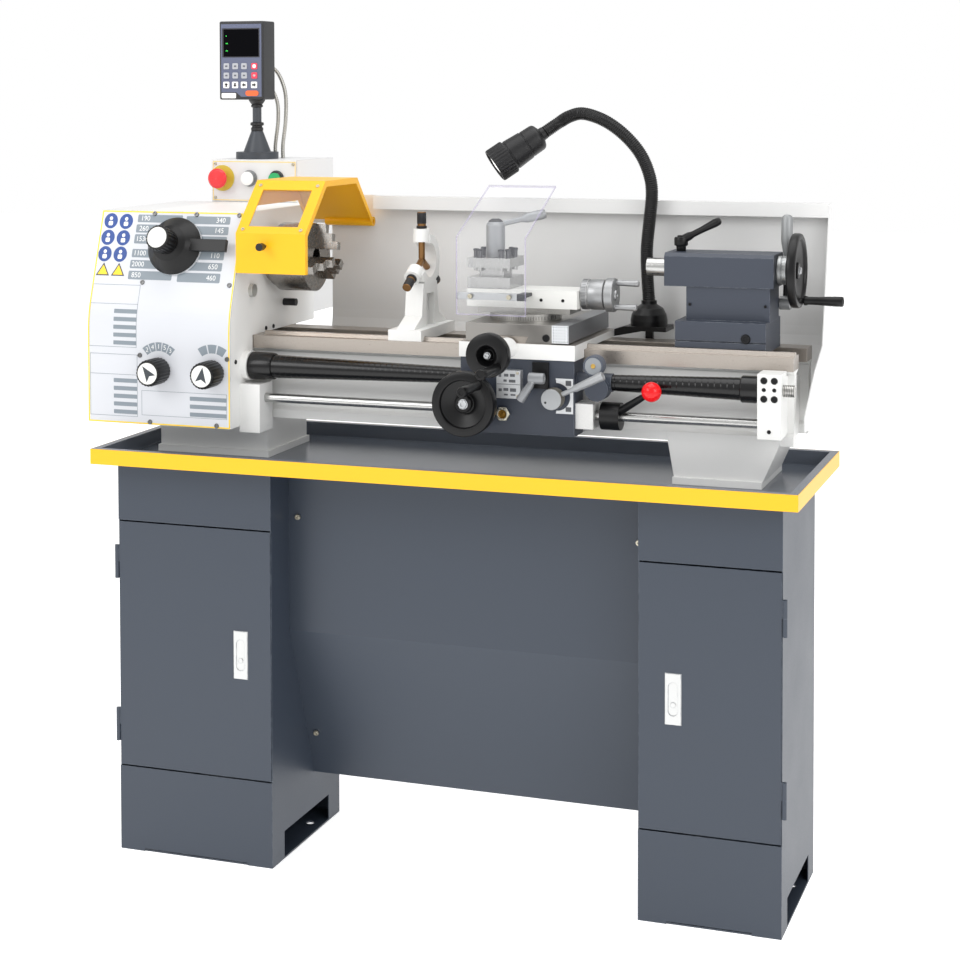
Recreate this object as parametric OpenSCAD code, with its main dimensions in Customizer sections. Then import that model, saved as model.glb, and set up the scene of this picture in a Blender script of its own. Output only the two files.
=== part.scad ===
// Engine lathe with a digital readout, standing on two sheet-steel cabinets with a chip tray.
// +X runs along the bed to the tailstock, +Y to the back and +Z up.
// The origin is on the floor, in the middle of the outer floor bolts.

/* [Stand] */
// Length of the chip tray
tray_l = 1300; // [1280:10:1360]
// Depth of the chip tray
tray_d = 416; // [400:2:440]
// Height of the tray's rim
rim_h = 28; // [20:1:40]
// Width of the rim's folded top
rim_w = 15; // [10:1:24]
// Thickness of the sheet steel
sheet = 2; // [1.5:0.1:3]
// Height of the cabinets
cab_h = 729; // [660:1:760]
// Depth of the cabinets
cab_d = 306; // [290:2:330]
// Width of the cabinet under the headstock
left_cab_w = 310; // [280:2:330]
// Width of the cabinet under the tailstock
right_cab_w = 246; // [220:2:280]
// Overhang of the tray past the left cabinet
left_overhang = 26; // [20:1:32]
// Overhang of the tray past the right cabinet
right_overhang = 35; // [28:1:44]
// Height of the lower edge of the doors
door_z0 = 158; // [120:1:180]
// Height of the upper edge of the doors
door_z1 = 616; // [560:1:640]
// Distance of the outer floor bolts from the middle
floor_hole_x = 590; // [580:1:600]
// Distance of the floor bolts in front of and behind the middle
floor_hole_y = 72; // [50:1:90]
// Radius of the floor bolt holes
floor_hole_r = 8; // [6:0.5:10]

/* [Bed] */
// Right end of the bed
bed_x1 = 613; // [600:1:630]
// Width over the ways
bed_w = 180; // [170:2:200]
// Distance of the spindle axis behind the middle of the tray
axis_y = 36; // [20:1:46]
// Height of the ways above the tray floor
bed_h = 227; // [210:1:240]
// Height of the spindle axis above the ways
centre_h = 140; // [132:1:150]
// Height of the ground way bands
way_h = 24; // [18:1:30]
// Width of one way
rail_w = 50; // [44:1:56]

/* [Headstock] */
// Left end of the end cover
cover_x0 = -687; // [-700:1:-670]
// Joint between the end cover and the headstock
head_x0 = -600; // [-620:1:-580]
// Right face of the headstock
head_x1 = -394; // [-400:1:-388]
// Height of the headstock above the ways
head_h = 229; // [215:1:240]
// Distance of the front panel in front of the spindle axis
panel_reach = 186; // [176:1:196]
// Setback of the panel's top edge behind its lower part
panel_lean = 60; // [40:1:70]
// Depth of the headstock behind the spindle axis
head_back = 186; // [170:1:200]
// Radius of the chuck
chuck_r = 64; // [56:1:72]
// Radius of the spindle bore
spindle_bore_r = 13; // [10:0.5:16]

/* [Carriage] */
// Middle of the saddle along the bed
carriage_x = 140; // [135:1:145]
// Length of the saddle along the bed
saddle_l = 212; // [200:2:224]
// Height of the apron
apron_h = 132; // [116:1:136]
// Width of the cross slide
cross_w = 158; // [150:2:168]
// Radius of the carriage handwheel
apron_wheel_r = 57; // [48:1:60]
// Side of the square tool post
post_w = 80; // [70:1:84]

/* [Tailstock] */
// Left end of the tailstock's upper block
tail_x0 = 377; // [372:1:384]
// Length of the tailstock's upper block
tail_l = 193; // [180:1:200]
// Radius of the quill
quill_r = 16; // [14:0.5:18]
// Radius of the tailstock handwheel
tail_wheel_r = 65; // [55:1:70]

/* [Steady] */
// Middle of the steady along the bed
steady_x = -93; // [-100:1:-88]
// Outer radius of the steady's ring
steady_r = 48; // [44:1:54]

/* [Hidden] */
$fn = 48;

// Shared clearances
overrun = 1;
run_fit = 0.05;
slide_gap = 0.4;
face_gap = 0.3;

// Colours
slate = [0.24, 0.29, 0.34];
dark_slate = [0.22, 0.25, 0.31];
yellow = [0.98, 0.78, 0.05];
white = [0.93, 0.93, 0.91];
steel = [0.66, 0.64, 0.6];
silver = [0.75, 0.76, 0.77];
black = [0.06, 0.06, 0.07];
red = [0.85, 0.08, 0.06];
green = [0.1, 0.6, 0.35];
bronze = [0.62, 0.38, 0.18];
clear = [0.85, 0.88, 0.95, 0.35];

// Cabinets and doors
left_x0 = -tray_l / 2 + left_overhang;
left_x1 = left_x0 + left_cab_w;
right_x1 = tray_l / 2 - right_overhang;
right_x0 = right_x1 - right_cab_w;
cab_y0 = -cab_d / 2;
cab_y1 = cab_d / 2;
door_gap = 1.5;
door_return = 15;
return_gap = 1;
base_t = 3;
top_lip = 22;
notch_inset = 50;
notch_h = 5;
vent_l = 202;
vent_h = 51;
inner_hole_inset = 26;
latch_w = 27;
latch_h = 87;
latch_t = 1.5;
latch_inset = 61;
latch_z = 386;
latch_slot_w = 17;
latch_slot_h = 57;
latch_lock_r = 4.5;
hinge_zs = [539, 234];
knuckle_r = 4;
knuckle_h = 31;
hinge_pin_r = 2.5;
hinge_pin_h = 27;
hinge_leaf = 24;
leaf_t = 1.5;

// Panel between the cabinets
panel_upper_y = -75;
panel_fold_z = 418;
panel_foot_y = 34;
panel_foot_z = 118;

// Tray
tray_floor_z = cab_h + sheet;
rim_z = cab_h + rim_h;

// Bed, section measured from the spindle axis
way_z = tray_floor_z + bed_h;
axis_z = way_z + centre_h;
bed_front = axis_y - bed_w / 2;
bed_back = axis_y + bed_w / 2;
bed_x0 = head_x0;
way_z0 = way_z - way_h;
bed_web_inset = 10;
bed_web_t = 20;
bed_sole_h = 16;
bed_sole_inset = 3;
bed_sole_w = 34;
bed_depth = 152;
bed_sole_z = way_z - bed_depth;
bed_top_web_h = 6;
vee_w = 16;
vee_h = 7;
vee_inset = 22;
rib_t = 12;
rib_pitch = 190;
rib_margin = 16;
foot_inset = 2;
foot_flange_h = 12;
foot_flange_lip = 4;
left_foot_offset = [62, 283];
left_foot = [-tray_l, -tray_l] / 2 + left_foot_offset;
right_foot_offset = [-242, -94];
right_foot = [tray_l, tray_l] / 2 + right_foot_offset;
foot_splay = [16, 40];

// Splash guard behind the bed
splash_behind = 169;
splash_y = axis_y + splash_behind;
splash_x0 = -345;
splash_x1 = 634;
splash_top_rise = 249;
splash_top_z = way_z + splash_top_rise;
splash_r = 150;
splash_lip = 26;
lip_clear = 4;
splash_wing = 24;
splash_wing_low = 90;
splash_sole_drop = 125;
splash_sole_z = way_z - splash_sole_drop;
splash_front_ahead = 96;
splash_front_y = axis_y - splash_front_ahead;

// Front panel, a lower upright part that bends back to a leaning upper part
panel_t = 3;
panel_y = axis_y - panel_reach;
panel_drop = 161;
panel_z0 = way_z - panel_drop;
head_top_z = way_z + head_h;
head_back_y = axis_y + head_back;
bend_rise = 7;
bend_z = way_z + bend_rise;
bend_r = 200;
bend_steps = 6;
top_front_y = panel_y + panel_lean;
bend_cy = panel_y + bend_r;
bend_reach = [top_front_y - bend_cy, head_top_z - bend_z];
lean = 180 - atan2(bend_reach[1], bend_reach[0]) - acos(bend_r / norm(bend_reach));
function front_outline(d) = concat(
  [[panel_y + d, panel_z0]],
  [for (i = [0 : bend_steps])
    let (a = lean * i / bend_steps, r = bend_r - d) [bend_cy - r * cos(a), bend_z + r * sin(a)]],
  [[top_front_y + d / cos(lean), head_top_z]]);
function slope_y(z) = top_front_y - (head_top_z - z) * tan(lean);

// Headstock casting
head_wall = 14;
gearbox_back_ahead = 2;
gearbox_back_y = bed_front - gearbox_back_ahead;
cavity_front_ahead = 46;
cavity_front_y = axis_y - cavity_front_ahead;
nose_ring_r = 48;
nose_ring_l = 8;
guard_rod_r = 5;
sight_plug_r = 12;
sight_plug_t = 8;
sight_plug_offset = [-99, -56];
sight_plug = [axis_y, axis_z] + sight_plug_offset;
drain_plug_r = 7;
drain_plug_l = 26;
drain_plug_offset = [46, -92];
drain_plug = [axis_y, axis_z] + drain_plug_offset;
shaft_boss_l = 12;
rod_block_l = 40;
rod_block = [54, 89];

// Feed shafts in front of the bed
screw_ahead = 30;
screw_y = bed_front - screw_ahead;
screw_drop = 52;
screw_z = way_z - screw_drop;
screw_r = 10;
screw_end = 8;
rod_drop = 58;
rod_z = screw_z - rod_drop;
rod_r = 8.3;
cover_big_r = 22;
cover_small_r = 14;
cover_bore_r = 11;
collar_l = 47;
collar_r = 25;
right_collar_l = 31;
bracket_left = 51;
bracket_x0 = bed_x1 - bracket_left;
bracket_l = 40;
bracket_y_offset = [-23, 28];
bracket_y = [screw_y, screw_y] + bracket_y_offset;
bracket_z_offset = [-22, 30];
bracket_z = [rod_z, screw_z] + bracket_z_offset;

// Spindle and chuck
spindle_r = 26;
spindle_tail = 40;
bar_hole_r = 19;
pulley_r = 54;
pulley_l = 30;
backplate_l = 12;
backplate_r = 56;
backplate_gap = 2;
chuck_l = 67;
chuck_bore_r = 17;
jaw_w = 15;
jaw_slot_depth = 14;
jaw_reach = 44;
jaw_grip_r = 15;
jaw_angles = [80, 200, 320];
jaw_step_shares = [[0, 0], [1, 0], [1, 0.29], [0.8, 0.29], [0.8, 0.6], [0.56, 0.6], [0.56, 0.95], [0, 0.95]];
chuck_back_x = head_x1 + nose_ring_l + backplate_gap;
chuck_face_x = chuck_back_x + backplate_l + chuck_l;

// Speed and feed selectors on the panel
selector_x = -523;
selector_rise = 165;
selector_z = way_z + selector_rise;
selector_r = 54;
selector_h = 42;
selector_shares = [[0, 0], [1, 0], [1, 0.16], [0.9, 0.32], [0.62, 0.7], [0.42, 0.86], [0.42, 1], [0, 1]];
selector_stub_r = 14;
selector_lever = [112, 9, 22];
range_shaft_r = 6;
range_knob_r = 24;
range_knob_h = 34;
knob_shares = [[0, 0], [0.92, 0], [1, 0.08], [1, 0.88], [0.9, 1], [0, 1]];
feed_knob_xs = [-539, -430];
feed_knob_drop = 60;
feed_knob_z = way_z - feed_knob_drop;
feed_knob_r = 24.5;
feed_knob_h = 44;
feed_shaft_r = 6;
stub_l = 20;

// Chuck guard, outline measured from the spindle axis
guard_x_offset = [3, 141];
guard_x = [head_x1, head_x1] + guard_x_offset;
guard_t = 2;
guard_edge = 11;
guard_front_ahead = 166;
guard_front = axis_y - guard_front_ahead;
guard_low_drop = 18;
guard_low_z = axis_z - guard_low_drop;
guard_bend_rise = 55;
guard_bend_z = axis_z + guard_bend_rise;
guard_roof_rise = 147;
guard_roof_z = axis_z + guard_roof_rise;
guard_roof_y_offset = [-74, 76];
guard_roof_y = [axis_y, axis_y] + guard_roof_y_offset;
guard_hinge_offset = [157, 58];
guard_hinge = [axis_y, axis_z] + guard_hinge_offset;
guard_tube_r = 9;
guard_tube_right = 41;
guard_tube_x0 = head_x1 + guard_tube_right;
guard_window_shares = [0.13, 0.82];
guard_window_inset = 20;
guard_pane_lap = 7;
guard_pane_t = 2;
guard_knob_r = 7;
guard_knob_l = 24;
guard_knob_x = -333;
guard_knob_rise = 32;
guard_knob_z = axis_z + guard_knob_rise;
guard_tilt = atan2(guard_roof_z - guard_bend_z, guard_roof_y[0] - guard_front);
function guard_line(d) = [
  [guard_front + d, guard_low_z], [guard_front + d, guard_bend_z - d * tan((90 - guard_tilt) / 2)],
  [guard_roof_y[0] + d * tan(guard_tilt / 2), guard_roof_z - d], [guard_roof_y[1] - d / 2, guard_roof_z - d],
  [guard_hinge[0] - d, guard_hinge[1]]];

// Electrical box behind the headstock
box_x = [-617, -428.5];
box_d = 178;
box_rise = 4;
box_z0 = way_z + box_rise;
box_top_rise = 85;
box_top_z = head_top_z + box_top_rise;
plate_x1 = -430;
plate_t = 1.5;
button_rise = 48;
button_z = head_top_z + button_rise;
emergency_x = -592;
emergency_r = 20;
emergency_h = 22;
emergency_shares = [[0, 0], [0.55, 0], [0.55, 0.45], [0.8, 0.52], [1, 0.66], [1, 0.8], [0.8, 0.94], [0, 1]];
emergency_ring_r = 26;
emergency_ring_t = 2;
button_stem_r = 8;
lamp_x = -532;
start_x = -473;
button_r = 14;
bezel_h = 6;
button_h = 9;
button_gap = 6;

// Digital readout
readout_x = -546;
readout_behind = 63;
readout_y = head_back_y + readout_behind;
foot_r = 43;
foot_h = 14;
cone_h = 42;
cone_rs = [28, 12];
arm_r = 9;
display_x_offset = [-73, 26];
display_x = [readout_x, readout_x] + display_x_offset;
display_y_offset = [-23, 32];
display_y = [readout_y, readout_y] + display_y_offset;
display_rise = 120;
display_z0 = box_top_z + display_rise;
display_h = 159;
display_socket = 24;
cable_r = 4;
cable_sides = 8;
cable_rings = 34;
cable_side = [1, 0, 0];
cable_routes = [
  [[-14, 32.7, 168], [-14, 46, 168], [-2, 59, 152], [18, 56, 118], [24, 49, 78], [20, 44, 28], [20, 44, 0.3]],
  [[6, 32.7, 190], [6, 46, 190], [20, 61, 172], [36, 59, 132], [40, 51, 78], [36, 46, 28], [36, 46, 0.3]]
];

// Carriage
saddle_x = [carriage_x - saddle_l / 2, carriage_x + saddle_l / 2];
saddle_t = 13;
saddle_z1 = way_z + saddle_t;
saddle_front_ahead = 60;
saddle_front = bed_front - saddle_front_ahead;
saddle_back_behind = 14;
saddle_back = bed_back + saddle_back_behind;
saddle_skirt = 14;
apron_front_behind = 3;
apron_front = saddle_front + apron_front_behind;
apron_back_ahead = 2;
apron_back = bed_front - apron_back_ahead;
apron_z1 = way_z - saddle_skirt;
apron_z0 = apron_z1 - apron_h;
apron_inset = 2;
cross_left = 16;
cross_x = carriage_x - cross_left;
dove_h = 12;
dove_w = 60;
dove_flare = 6;
cross_boss_r = 18;
cross_screw_z = saddle_z1 + dove_h - cross_boss_r - 2 * overrun;
cross_boss_front_ahead = 92;
cross_boss_front = saddle_front - cross_boss_front_ahead;
cross_shaft_r = 8;
cross_wheel_r = 38;
cross_wheel_w = 22;
wheel_grip = [9, 96];
wheel_shares = [0.2, 0.3, 0.9];
grip_turns = [50, 313, 20];
apron_wheel_left = 79;
apron_wheel_x = carriage_x - apron_wheel_left;
apron_wheel_drop = 89;
apron_wheel_z = way_z - apron_wheel_drop;
apron_wheel_ahead = 40;
apron_wheel_y = apron_front - apron_wheel_ahead;
apron_wheel_w = 24;
apron_shaft_r = 10;
feed_plate_x_offset = [-33, 11];
feed_plate_x = [carriage_x, carriage_x] + feed_plate_x_offset;
feed_plate_z_offset = [-82, -33];
feed_plate_z = [way_z, way_z] + feed_plate_z_offset;
feed_plate_t = 14;
feed_pivot_offset = [44, -45];
feed_pivot = [carriage_x, way_z] + feed_pivot_offset;
feed_boss = [12, 18];
feed_arm = [-29, -38];
lever_shaft_r = 6;
lever_stub_l = 12;
lever_rod_r = 5;
lever_grip_r = 8;
lever_shares = [[0, 0], [0, 0.5], [0.9, 0.62], [1, 0.72], [1, 0.95], [0.6, 1]];
halfnut_pivot_offset = [73, -77];
halfnut_pivot = [carriage_x, way_z] + halfnut_pivot_offset;
halfnut_hub = [19, 22];
halfnut_arm = [90, 44];
glass_pos_offset = [-24, -111];
glass_pos = [carriage_x, way_z] + glass_pos_offset;
glass_r = 12;
glass_t = 6;
dial_pos_offset = [140, -20];
dial_pos = [carriage_x, way_z] + dial_pos_offset;
dial_r = 18;
dial_t = 12;
dial_body_r = 21;
dial_body_offset = [143, -61];
dial_body = [carriage_x, way_z] + dial_body_offset;
screw_boss = [62, 16];
lever_bracket_l = 32;
lever_bracket_h = 44;
start_hub = [36, 34];
start_hub_r = 24;
start_gap = 11;
start_tip = [83, -50, 53];
start_ball_r = 17;

// Cross slide, compound and tool post
cross_h = 33;
cross_front_behind = 5;
cross_front = saddle_front + cross_front_behind;
cross_back_behind = 89;
cross_back = axis_y + cross_back_behind;
cross_z0 = saddle_z1;
cross_z1 = cross_z0 + cross_h;
scale_w = 30;
scale_back_behind = 112;
scale_back = axis_y + scale_back_behind;
scale_gap = 2;
swivel_c_offset = [0, -46];
swivel_c = [cross_x, axis_y] + swivel_c_offset;
swivel_r = 64;
swivel_h = 12;
swivel_plate = [171, 70, 10];
swivel_plate_shift = 7;
slide_z0 = cross_z1 + swivel_h + swivel_plate[2];
slide_h = 32;
slide_x_offset = [-98, 107];
slide_x = [swivel_c[0], swivel_c[0]] + slide_x_offset;
slide_w = 80;
slide_dove_w = 34;
slide_z1 = slide_z0 + slide_h;
crank_rise = 18;
crank_z = slide_z0 + crank_rise;
crank_dial = [27, 44];
crank_disc = [30, 16];
crank_grip = [6, 40];
crank_grip_reach = 22;
crank_turn = 70;
post_right = 41;
post_x = slide_x[0] + post_right;
post_foot_h = 20;
post_core_h = 17;
post_top_h = 17;
post_core_w = 46;
post_screw_r = 4.5;
post_screw_l = 36;
post_screw_drop = 7;
post_screw_inset = 10;
post_screw_step = 20;
post_z1 = slide_z1 + face_gap + post_foot_h + post_core_h + post_top_h;
post_stud_r = 10;
post_stud_h = 40;
post_hub_r = 17;
post_hub_h = 68;
post_hub_shares = [[0, 0], [1, 0], [1, 0.84], [0.72, 0.95], [0.4, 1], [0, 1]];
post_arm = [81, 40, 20];
post_arm_z = 56;
post_grip_r = 9;
shield_t = 3;
shield_x_offset = [-47, 82];
shield_x = [post_x, post_x] + shield_x_offset;
shield_ahead = 80;
shield_y = swivel_c[1] - shield_ahead;
shield_z_offset = [-11, 127];
shield_z = [slide_z0, slide_z0] + shield_z_offset;
shield_roof = [180, 83];
strip_h = 12;
strip_t = 10;
strip_rise = 22;
strip_z = slide_z0 + strip_rise;
strip_arm_w = 16;

// Work lamp on the back of the saddle
lamp_plate = [78, 60, 8];
lamp_c_offset = [169, 116];
lamp_c = [carriage_x, axis_y] + lamp_c_offset;
lamp_plate_z = saddle_z1;
lamp_bell_h = 46;
lamp_bell_r = 34;
lamp_bell_shares = [[0, 0], [1, 0], [1, 0.2], [0.94, 0.45], [0.76, 0.7], [0.42, 0.86], [0.42, 1], [0, 1]];
lamp_web_t = 6;
lamp_post = [14, 10, 46];
neck_r = 11;
neck_sides = 12;
neck_rings = 44;
neck_points = [
  [0, 0, 50], [-4, 0, 112], [-4, 0, 154], [0, 0, 195], [5, 0, 249], [0, 0, 285],
  [-17, 0, 323], [-47, 0, 357], [-85, 2, 383], [-127, 8, 396], [-156, 16, 391], [-180, 25, 379], [-204, 13, 361]
];
neck_side = [0, 1, 0];
neck_route = [for (p = neck_points) p + [lamp_c[0], lamp_c[1], lamp_plate_z]];
lamp_back = neck_route[len(neck_route) - 1];
lamp_aim = [-85, -43, -63];
lamp_l = norm(lamp_aim);
lamp_head_r = 33;
lamp_head_shares = [
  [0, 0], [0.42, 0], [0.42, 0.1], [0.62, 0.16], [0.66, 0.5], [0.9, 0.62], [1, 0.7], [1, 1],
  [0.88, 1], [0.84, 0.94], [0, 0.94]
];

// Steady
steady_t = 34;
steady_foot_h = 20;
steady_foot_l = 64;
steady_bore_r = 31;
steady_waist = [44, 34];
steady_waist_drop = 40;
steady_waist_z = axis_z - steady_waist_drop;
steady_pocket = [40, 12, 60];
finger_r = 6;
finger_tip = 3;
finger_l = 60;
finger_boss_r = 15;
finger_boss = [34, 58];
finger_knob_r = 8;
finger_knob_l = 26;
finger_angles = [90, 210, 330];

// Tailstock
tail_x1 = tail_x0 + tail_l;
tail_block_offset = [-44, 44];
tail_block = [axis_y, axis_y] + tail_block_offset;
tail_block_drop = 29;
tail_block_z0 = axis_z - tail_block_drop;
tail_block_rise = 29;
tail_block_z1 = axis_z + tail_block_rise;
tail_chamfer = 6;
tail_neck_x_offset = [39, -7];
tail_neck_x = [tail_x0, tail_x1] + tail_neck_x_offset;
tail_neck_y_offset = [-41, 41];
tail_neck_y = [axis_y, axis_y] + tail_neck_y_offset;
tail_base_x_offset = [25, -9];
tail_base_x = [tail_x0, tail_x1] + tail_base_x_offset;
tail_base_y_offset = [-66, 66];
tail_base_y = [axis_y, axis_y] + tail_base_y_offset;
tail_base_h = 53;
tail_split = [18, 2];
quill_out = 40;
quill_l = 190;
quill_back = 30;
tail_bore_l = quill_l - quill_out + quill_back + slide_gap;
taper_rs = [9, 7];
taper_l = 64;
tail_shaft_r = 8;
tail_dial = [25, 17];
tail_wheel_gap = 24;
tail_wheel_w = 16;
tail_grip = [8, 78];
lock_right = 20;
lock_x = tail_x0 + lock_right;
lock_shaft_r = 6;
lock_hub = [9, 25];
lock_arm = [69, 0, 36];
clamp_pivot_offset = [48, -62];
clamp_pivot = [axis_y, axis_z] + clamp_pivot_offset;
clamp_hub = [12, 20];
clamp_arm_h = 158;
clamp_grip_r = 8;
clamp_lean = 6;

// Motor under the back of the headstock
motor_r = 66;
motor_x_offset = [15, -16];
motor_x = [head_x0, head_x1] + motor_x_offset;
motor_behind = 166;
motor_y = axis_y + motor_behind;
motor_drop = 78;
motor_z = way_z - motor_drop;
motor_foot_w = 56;

// Screws
stand_screw_r = 5;
stand_screw_h = 3;
stand_screw_inset = 19;
stand_screw_drop = 100;
stand_screw_rise = 87;
stand_screw_zs = [cab_h - stand_screw_drop, panel_foot_z + stand_screw_rise];
panel_screw_r = 4;
panel_screw_h = 1.5;
panel_low_screws = [[-558, 3], [-422, 3], [-578, 127], [-400, 127]];
panel_high_screws = [[-576, 384], [-489, 384], [-402, 384], [-582, 260], [-404, 260]];
bracket_screw_rs = [6, 3.5];
bracket_screw_h = 4;
bracket_big_shares = [[0.28, 0.9], [0.72, 0.9], [0.28, 0.62], [0.72, 0.62]];
bracket_small_shares = [[0.28, 0.76], [0.72, 0.76], [0.5, 0.12]];

// Basic shapes placed by their limits
module box(x0, x1, y0, y1, z0, z1) {
  translate([x0, y0, z0]) cube([x1 - x0, y1 - y0, z1 - z0]);
}
module bar_x(x0, x1, y, z, r) {
  translate([x0, y, z]) rotate([0, 90, 0]) cylinder(r = r, h = x1 - x0);
}
module bar_y(x, y0, y1, z, r) {
  translate([x, y0, z]) rotate([-90, 0, 0]) cylinder(r = r, h = y1 - y0);
}
module bar_z(x, y, z0, z1, r) {
  translate([x, y, z0]) cylinder(r = r, h = z1 - z0);
}
module prism_x(x0, x1, points) {
  translate([x0, 0, 0]) rotate([90, 0, 90]) linear_extrude(x1 - x0) polygon(points);
}
module prism_y(y0, y1, points) {
  translate([0, y1, 0]) rotate([90, 0, 0]) linear_extrude(y1 - y0) polygon(points);
}
module turned(shares, r, h) {
  rotate_extrude() polygon([for (p = shares) [p[0] * r, p[1] * h]]);
}
module facing_front(x, y, z) {
  translate([x, y, z]) rotate([90, 0, 0]) children();
}
module facing_right(x, y, z) {
  translate([x, y, z]) rotate([0, 90, 0]) children();
}
// Straight round bar from a point along a vector
module strut(from, along, r1, r2) {
  translate(from)
    rotate([0, acos(along[2] / norm(along)), atan2(along[1], along[0])])
      cylinder(r1 = r1, r2 = r2, h = norm(along));
}
// Lever arm from a point along a vector, a thin rod that swells to a rounded grip
module lever_arm(from, along, rod, grip) {
  l = norm(along);
  translate(from)
    rotate([0, acos(along[2] / l), atan2(along[1], along[0])])
      rotate_extrude()
        polygon(concat([[0, 0]], [for (p = lever_shares) [rod + p[0] * (grip - rod), p[1] * l]],
          [[0, l]]));
}
// Handwheel with a dished web, turned about local Z, its rim in front of z = 0
module wheel(r, w, shaft_r, shaft_l) {
  rim = w / 2;
  rotate_extrude() translate([r - rim, rim]) circle(rim);
  translate([0, 0, w * wheel_shares[0]]) cylinder(r = r - rim, h = w * wheel_shares[1]);
  cylinder(r = shaft_r * 2, h = w * wheel_shares[2]);
  translate([0, 0, -shaft_l]) cylinder(r = shaft_r, h = shaft_l + w / 2);
}

// A tube swept along a smooth curve through route points
function smooth(p, q, s, t, u) =
  (2 * q + (s - p) * u + (2 * p - 5 * q + 4 * s - t) * u * u + (3 * q - p - 3 * s + t) * u * u * u) / 2;
function route_point(route, f) =
  let (last = len(route) - 1, k = min(floor(f), last - 1), u = f - k)
  smooth(route[max(k - 1, 0)], route[k], route[k + 1], route[min(k + 2, last)], u);
function unit(v) = v / norm(v);
module swept_tube(route, r, sides, rings, across) {
  last = len(route) - 1;
  line = [for (i = [0 : rings]) route_point(route, last * i / rings)];
  points = [for (i = [0 : rings])
    let (
      ahead = unit(line[min(i + 1, rings)] - line[max(i - 1, 0)]),
      side = unit(cross(ahead, across)),
      up = cross(side, ahead)
    )
    for (j = [0 : sides - 1])
      line[i] + r * cos(360 * j / sides) * side + r * sin(360 * j / sides) * up];
  walls = [for (i = [0 : rings - 1]) for (j = [0 : sides - 1])
    let (a = i * sides + j, b = i * sides + (j + 1) % sides) [a, b, b + sides, a + sides]];
  polyhedron(points, concat(walls,
    [[for (j = [sides - 1 : -1 : 0]) j]], [[for (j = [0 : sides - 1]) rings * sides + j]]), convexity = 8);
}

// Sheet-steel cabinet, open at the front between the door's edges
module cabinet(x0, x1, outer_hole_x, inner_hole_x) {
  difference() {
    union() {
      box(x0, x0 + sheet, cab_y0 + sheet, cab_y1, 0, cab_h);
      box(x1 - sheet, x1, cab_y0 + sheet, cab_y1, 0, cab_h);
      box(x0, x1, cab_y1 - sheet, cab_y1, 0, cab_h);
      box(x0, x1, cab_y0, cab_y0 + sheet, 0, door_z0 - door_gap);
      box(x0, x1, cab_y0, cab_y0 + sheet, door_z1 + door_gap, cab_h);
      box(x0, x1, cab_y0, cab_y1, 0, base_t);
      box(x0, x1, cab_y0, cab_y1, cab_h - sheet, cab_h);
    }
    box(x0 + top_lip, x1 - top_lip, cab_y0 + top_lip, cab_y1 - top_lip, cab_h - sheet - overrun, cab_h + overrun);
    box(x0 - overrun, x0 + sheet, -vent_l / 2, vent_l / 2, base_t, vent_h);
    box(x1 - sheet, x1 + overrun, -vent_l / 2, vent_l / 2, base_t, vent_h);
    box(x0 + notch_inset, x1 - notch_inset, cab_y0 - overrun, cab_y0 + sheet, -overrun, notch_h);
    for (x = [outer_hole_x, inner_hole_x]) {
      for (y = [-floor_hole_y, floor_hole_y]) {
        bar_z(x, y, -overrun, base_t + overrun, floor_hole_r);
      }
    }
  }
}
module left_cabinet() {
  color(slate) cabinet(left_x0, left_x1, -floor_hole_x, left_x1 - inner_hole_inset);
}
module right_cabinet() {
  color(slate) cabinet(right_x0, right_x1, floor_hole_x, right_x0 + inner_hole_inset);
}

// Folded door with its flush latch plate; side is -1 for hinges on the left, 1 for the right
module door(x0, x1, side) {
  hinge_x = side < 0 ? x0 - knuckle_r : x1 + knuckle_r;
  latch_x = side < 0 ? x1 - latch_inset : x0 + latch_inset;
  edge_x = side < 0 ? x0 : x1;
  z0 = door_z0 + door_gap;
  z1 = door_z1 - door_gap;
  fold = sheet + return_gap;
  slot_y = (latch_slot_h - latch_slot_w) / 2;
  difference() {
    union() {
      box(x0 + door_gap, x1 - door_gap, cab_y0, cab_y0 + sheet, z0, z1);
      difference() {
        box(x0 + fold, x1 - fold, cab_y0, cab_y0 + door_return, z0, z1);
        box(x0 + fold + sheet, x1 - fold - sheet, cab_y0 + sheet, cab_y0 + door_return + overrun,
          z0 + sheet, z1 - sheet);
      }
      difference() {
        box(latch_x - latch_w / 2, latch_x + latch_w / 2, cab_y0 - latch_t, cab_y0,
          latch_z - latch_h / 2, latch_z + latch_h / 2);
        for (dz = [-slot_y, slot_y]) {
          bar_y(latch_x, cab_y0 - latch_t - overrun, cab_y0, latch_z + dz, latch_slot_w / 2);
        }
        box(latch_x - latch_slot_w / 2, latch_x + latch_slot_w / 2, cab_y0 - latch_t - overrun, cab_y0,
          latch_z - slot_y, latch_z + slot_y);
      }
      bar_y(latch_x, cab_y0 - latch_t, cab_y0, latch_z - slot_y / 2, latch_lock_r);
      for (z = hinge_zs) {
        bar_z(hinge_x, cab_y0 + sheet / 2, z, z + knuckle_h, knuckle_r);
        box(min(hinge_x, edge_x - side * hinge_leaf), max(hinge_x, edge_x - side * hinge_leaf),
          cab_y0, cab_y0 + sheet, z, z + knuckle_h);
      }
    }
    for (z = hinge_zs) {
      bar_z(hinge_x, cab_y0 + sheet / 2, z - overrun, z + knuckle_h - sheet, hinge_pin_r + run_fit);
    }
  }
}
module left_door() {
  color(slate) door(left_x0, left_x1, -1);
}
module right_door() {
  color(slate) door(right_x0, right_x1, 1);
}
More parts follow.
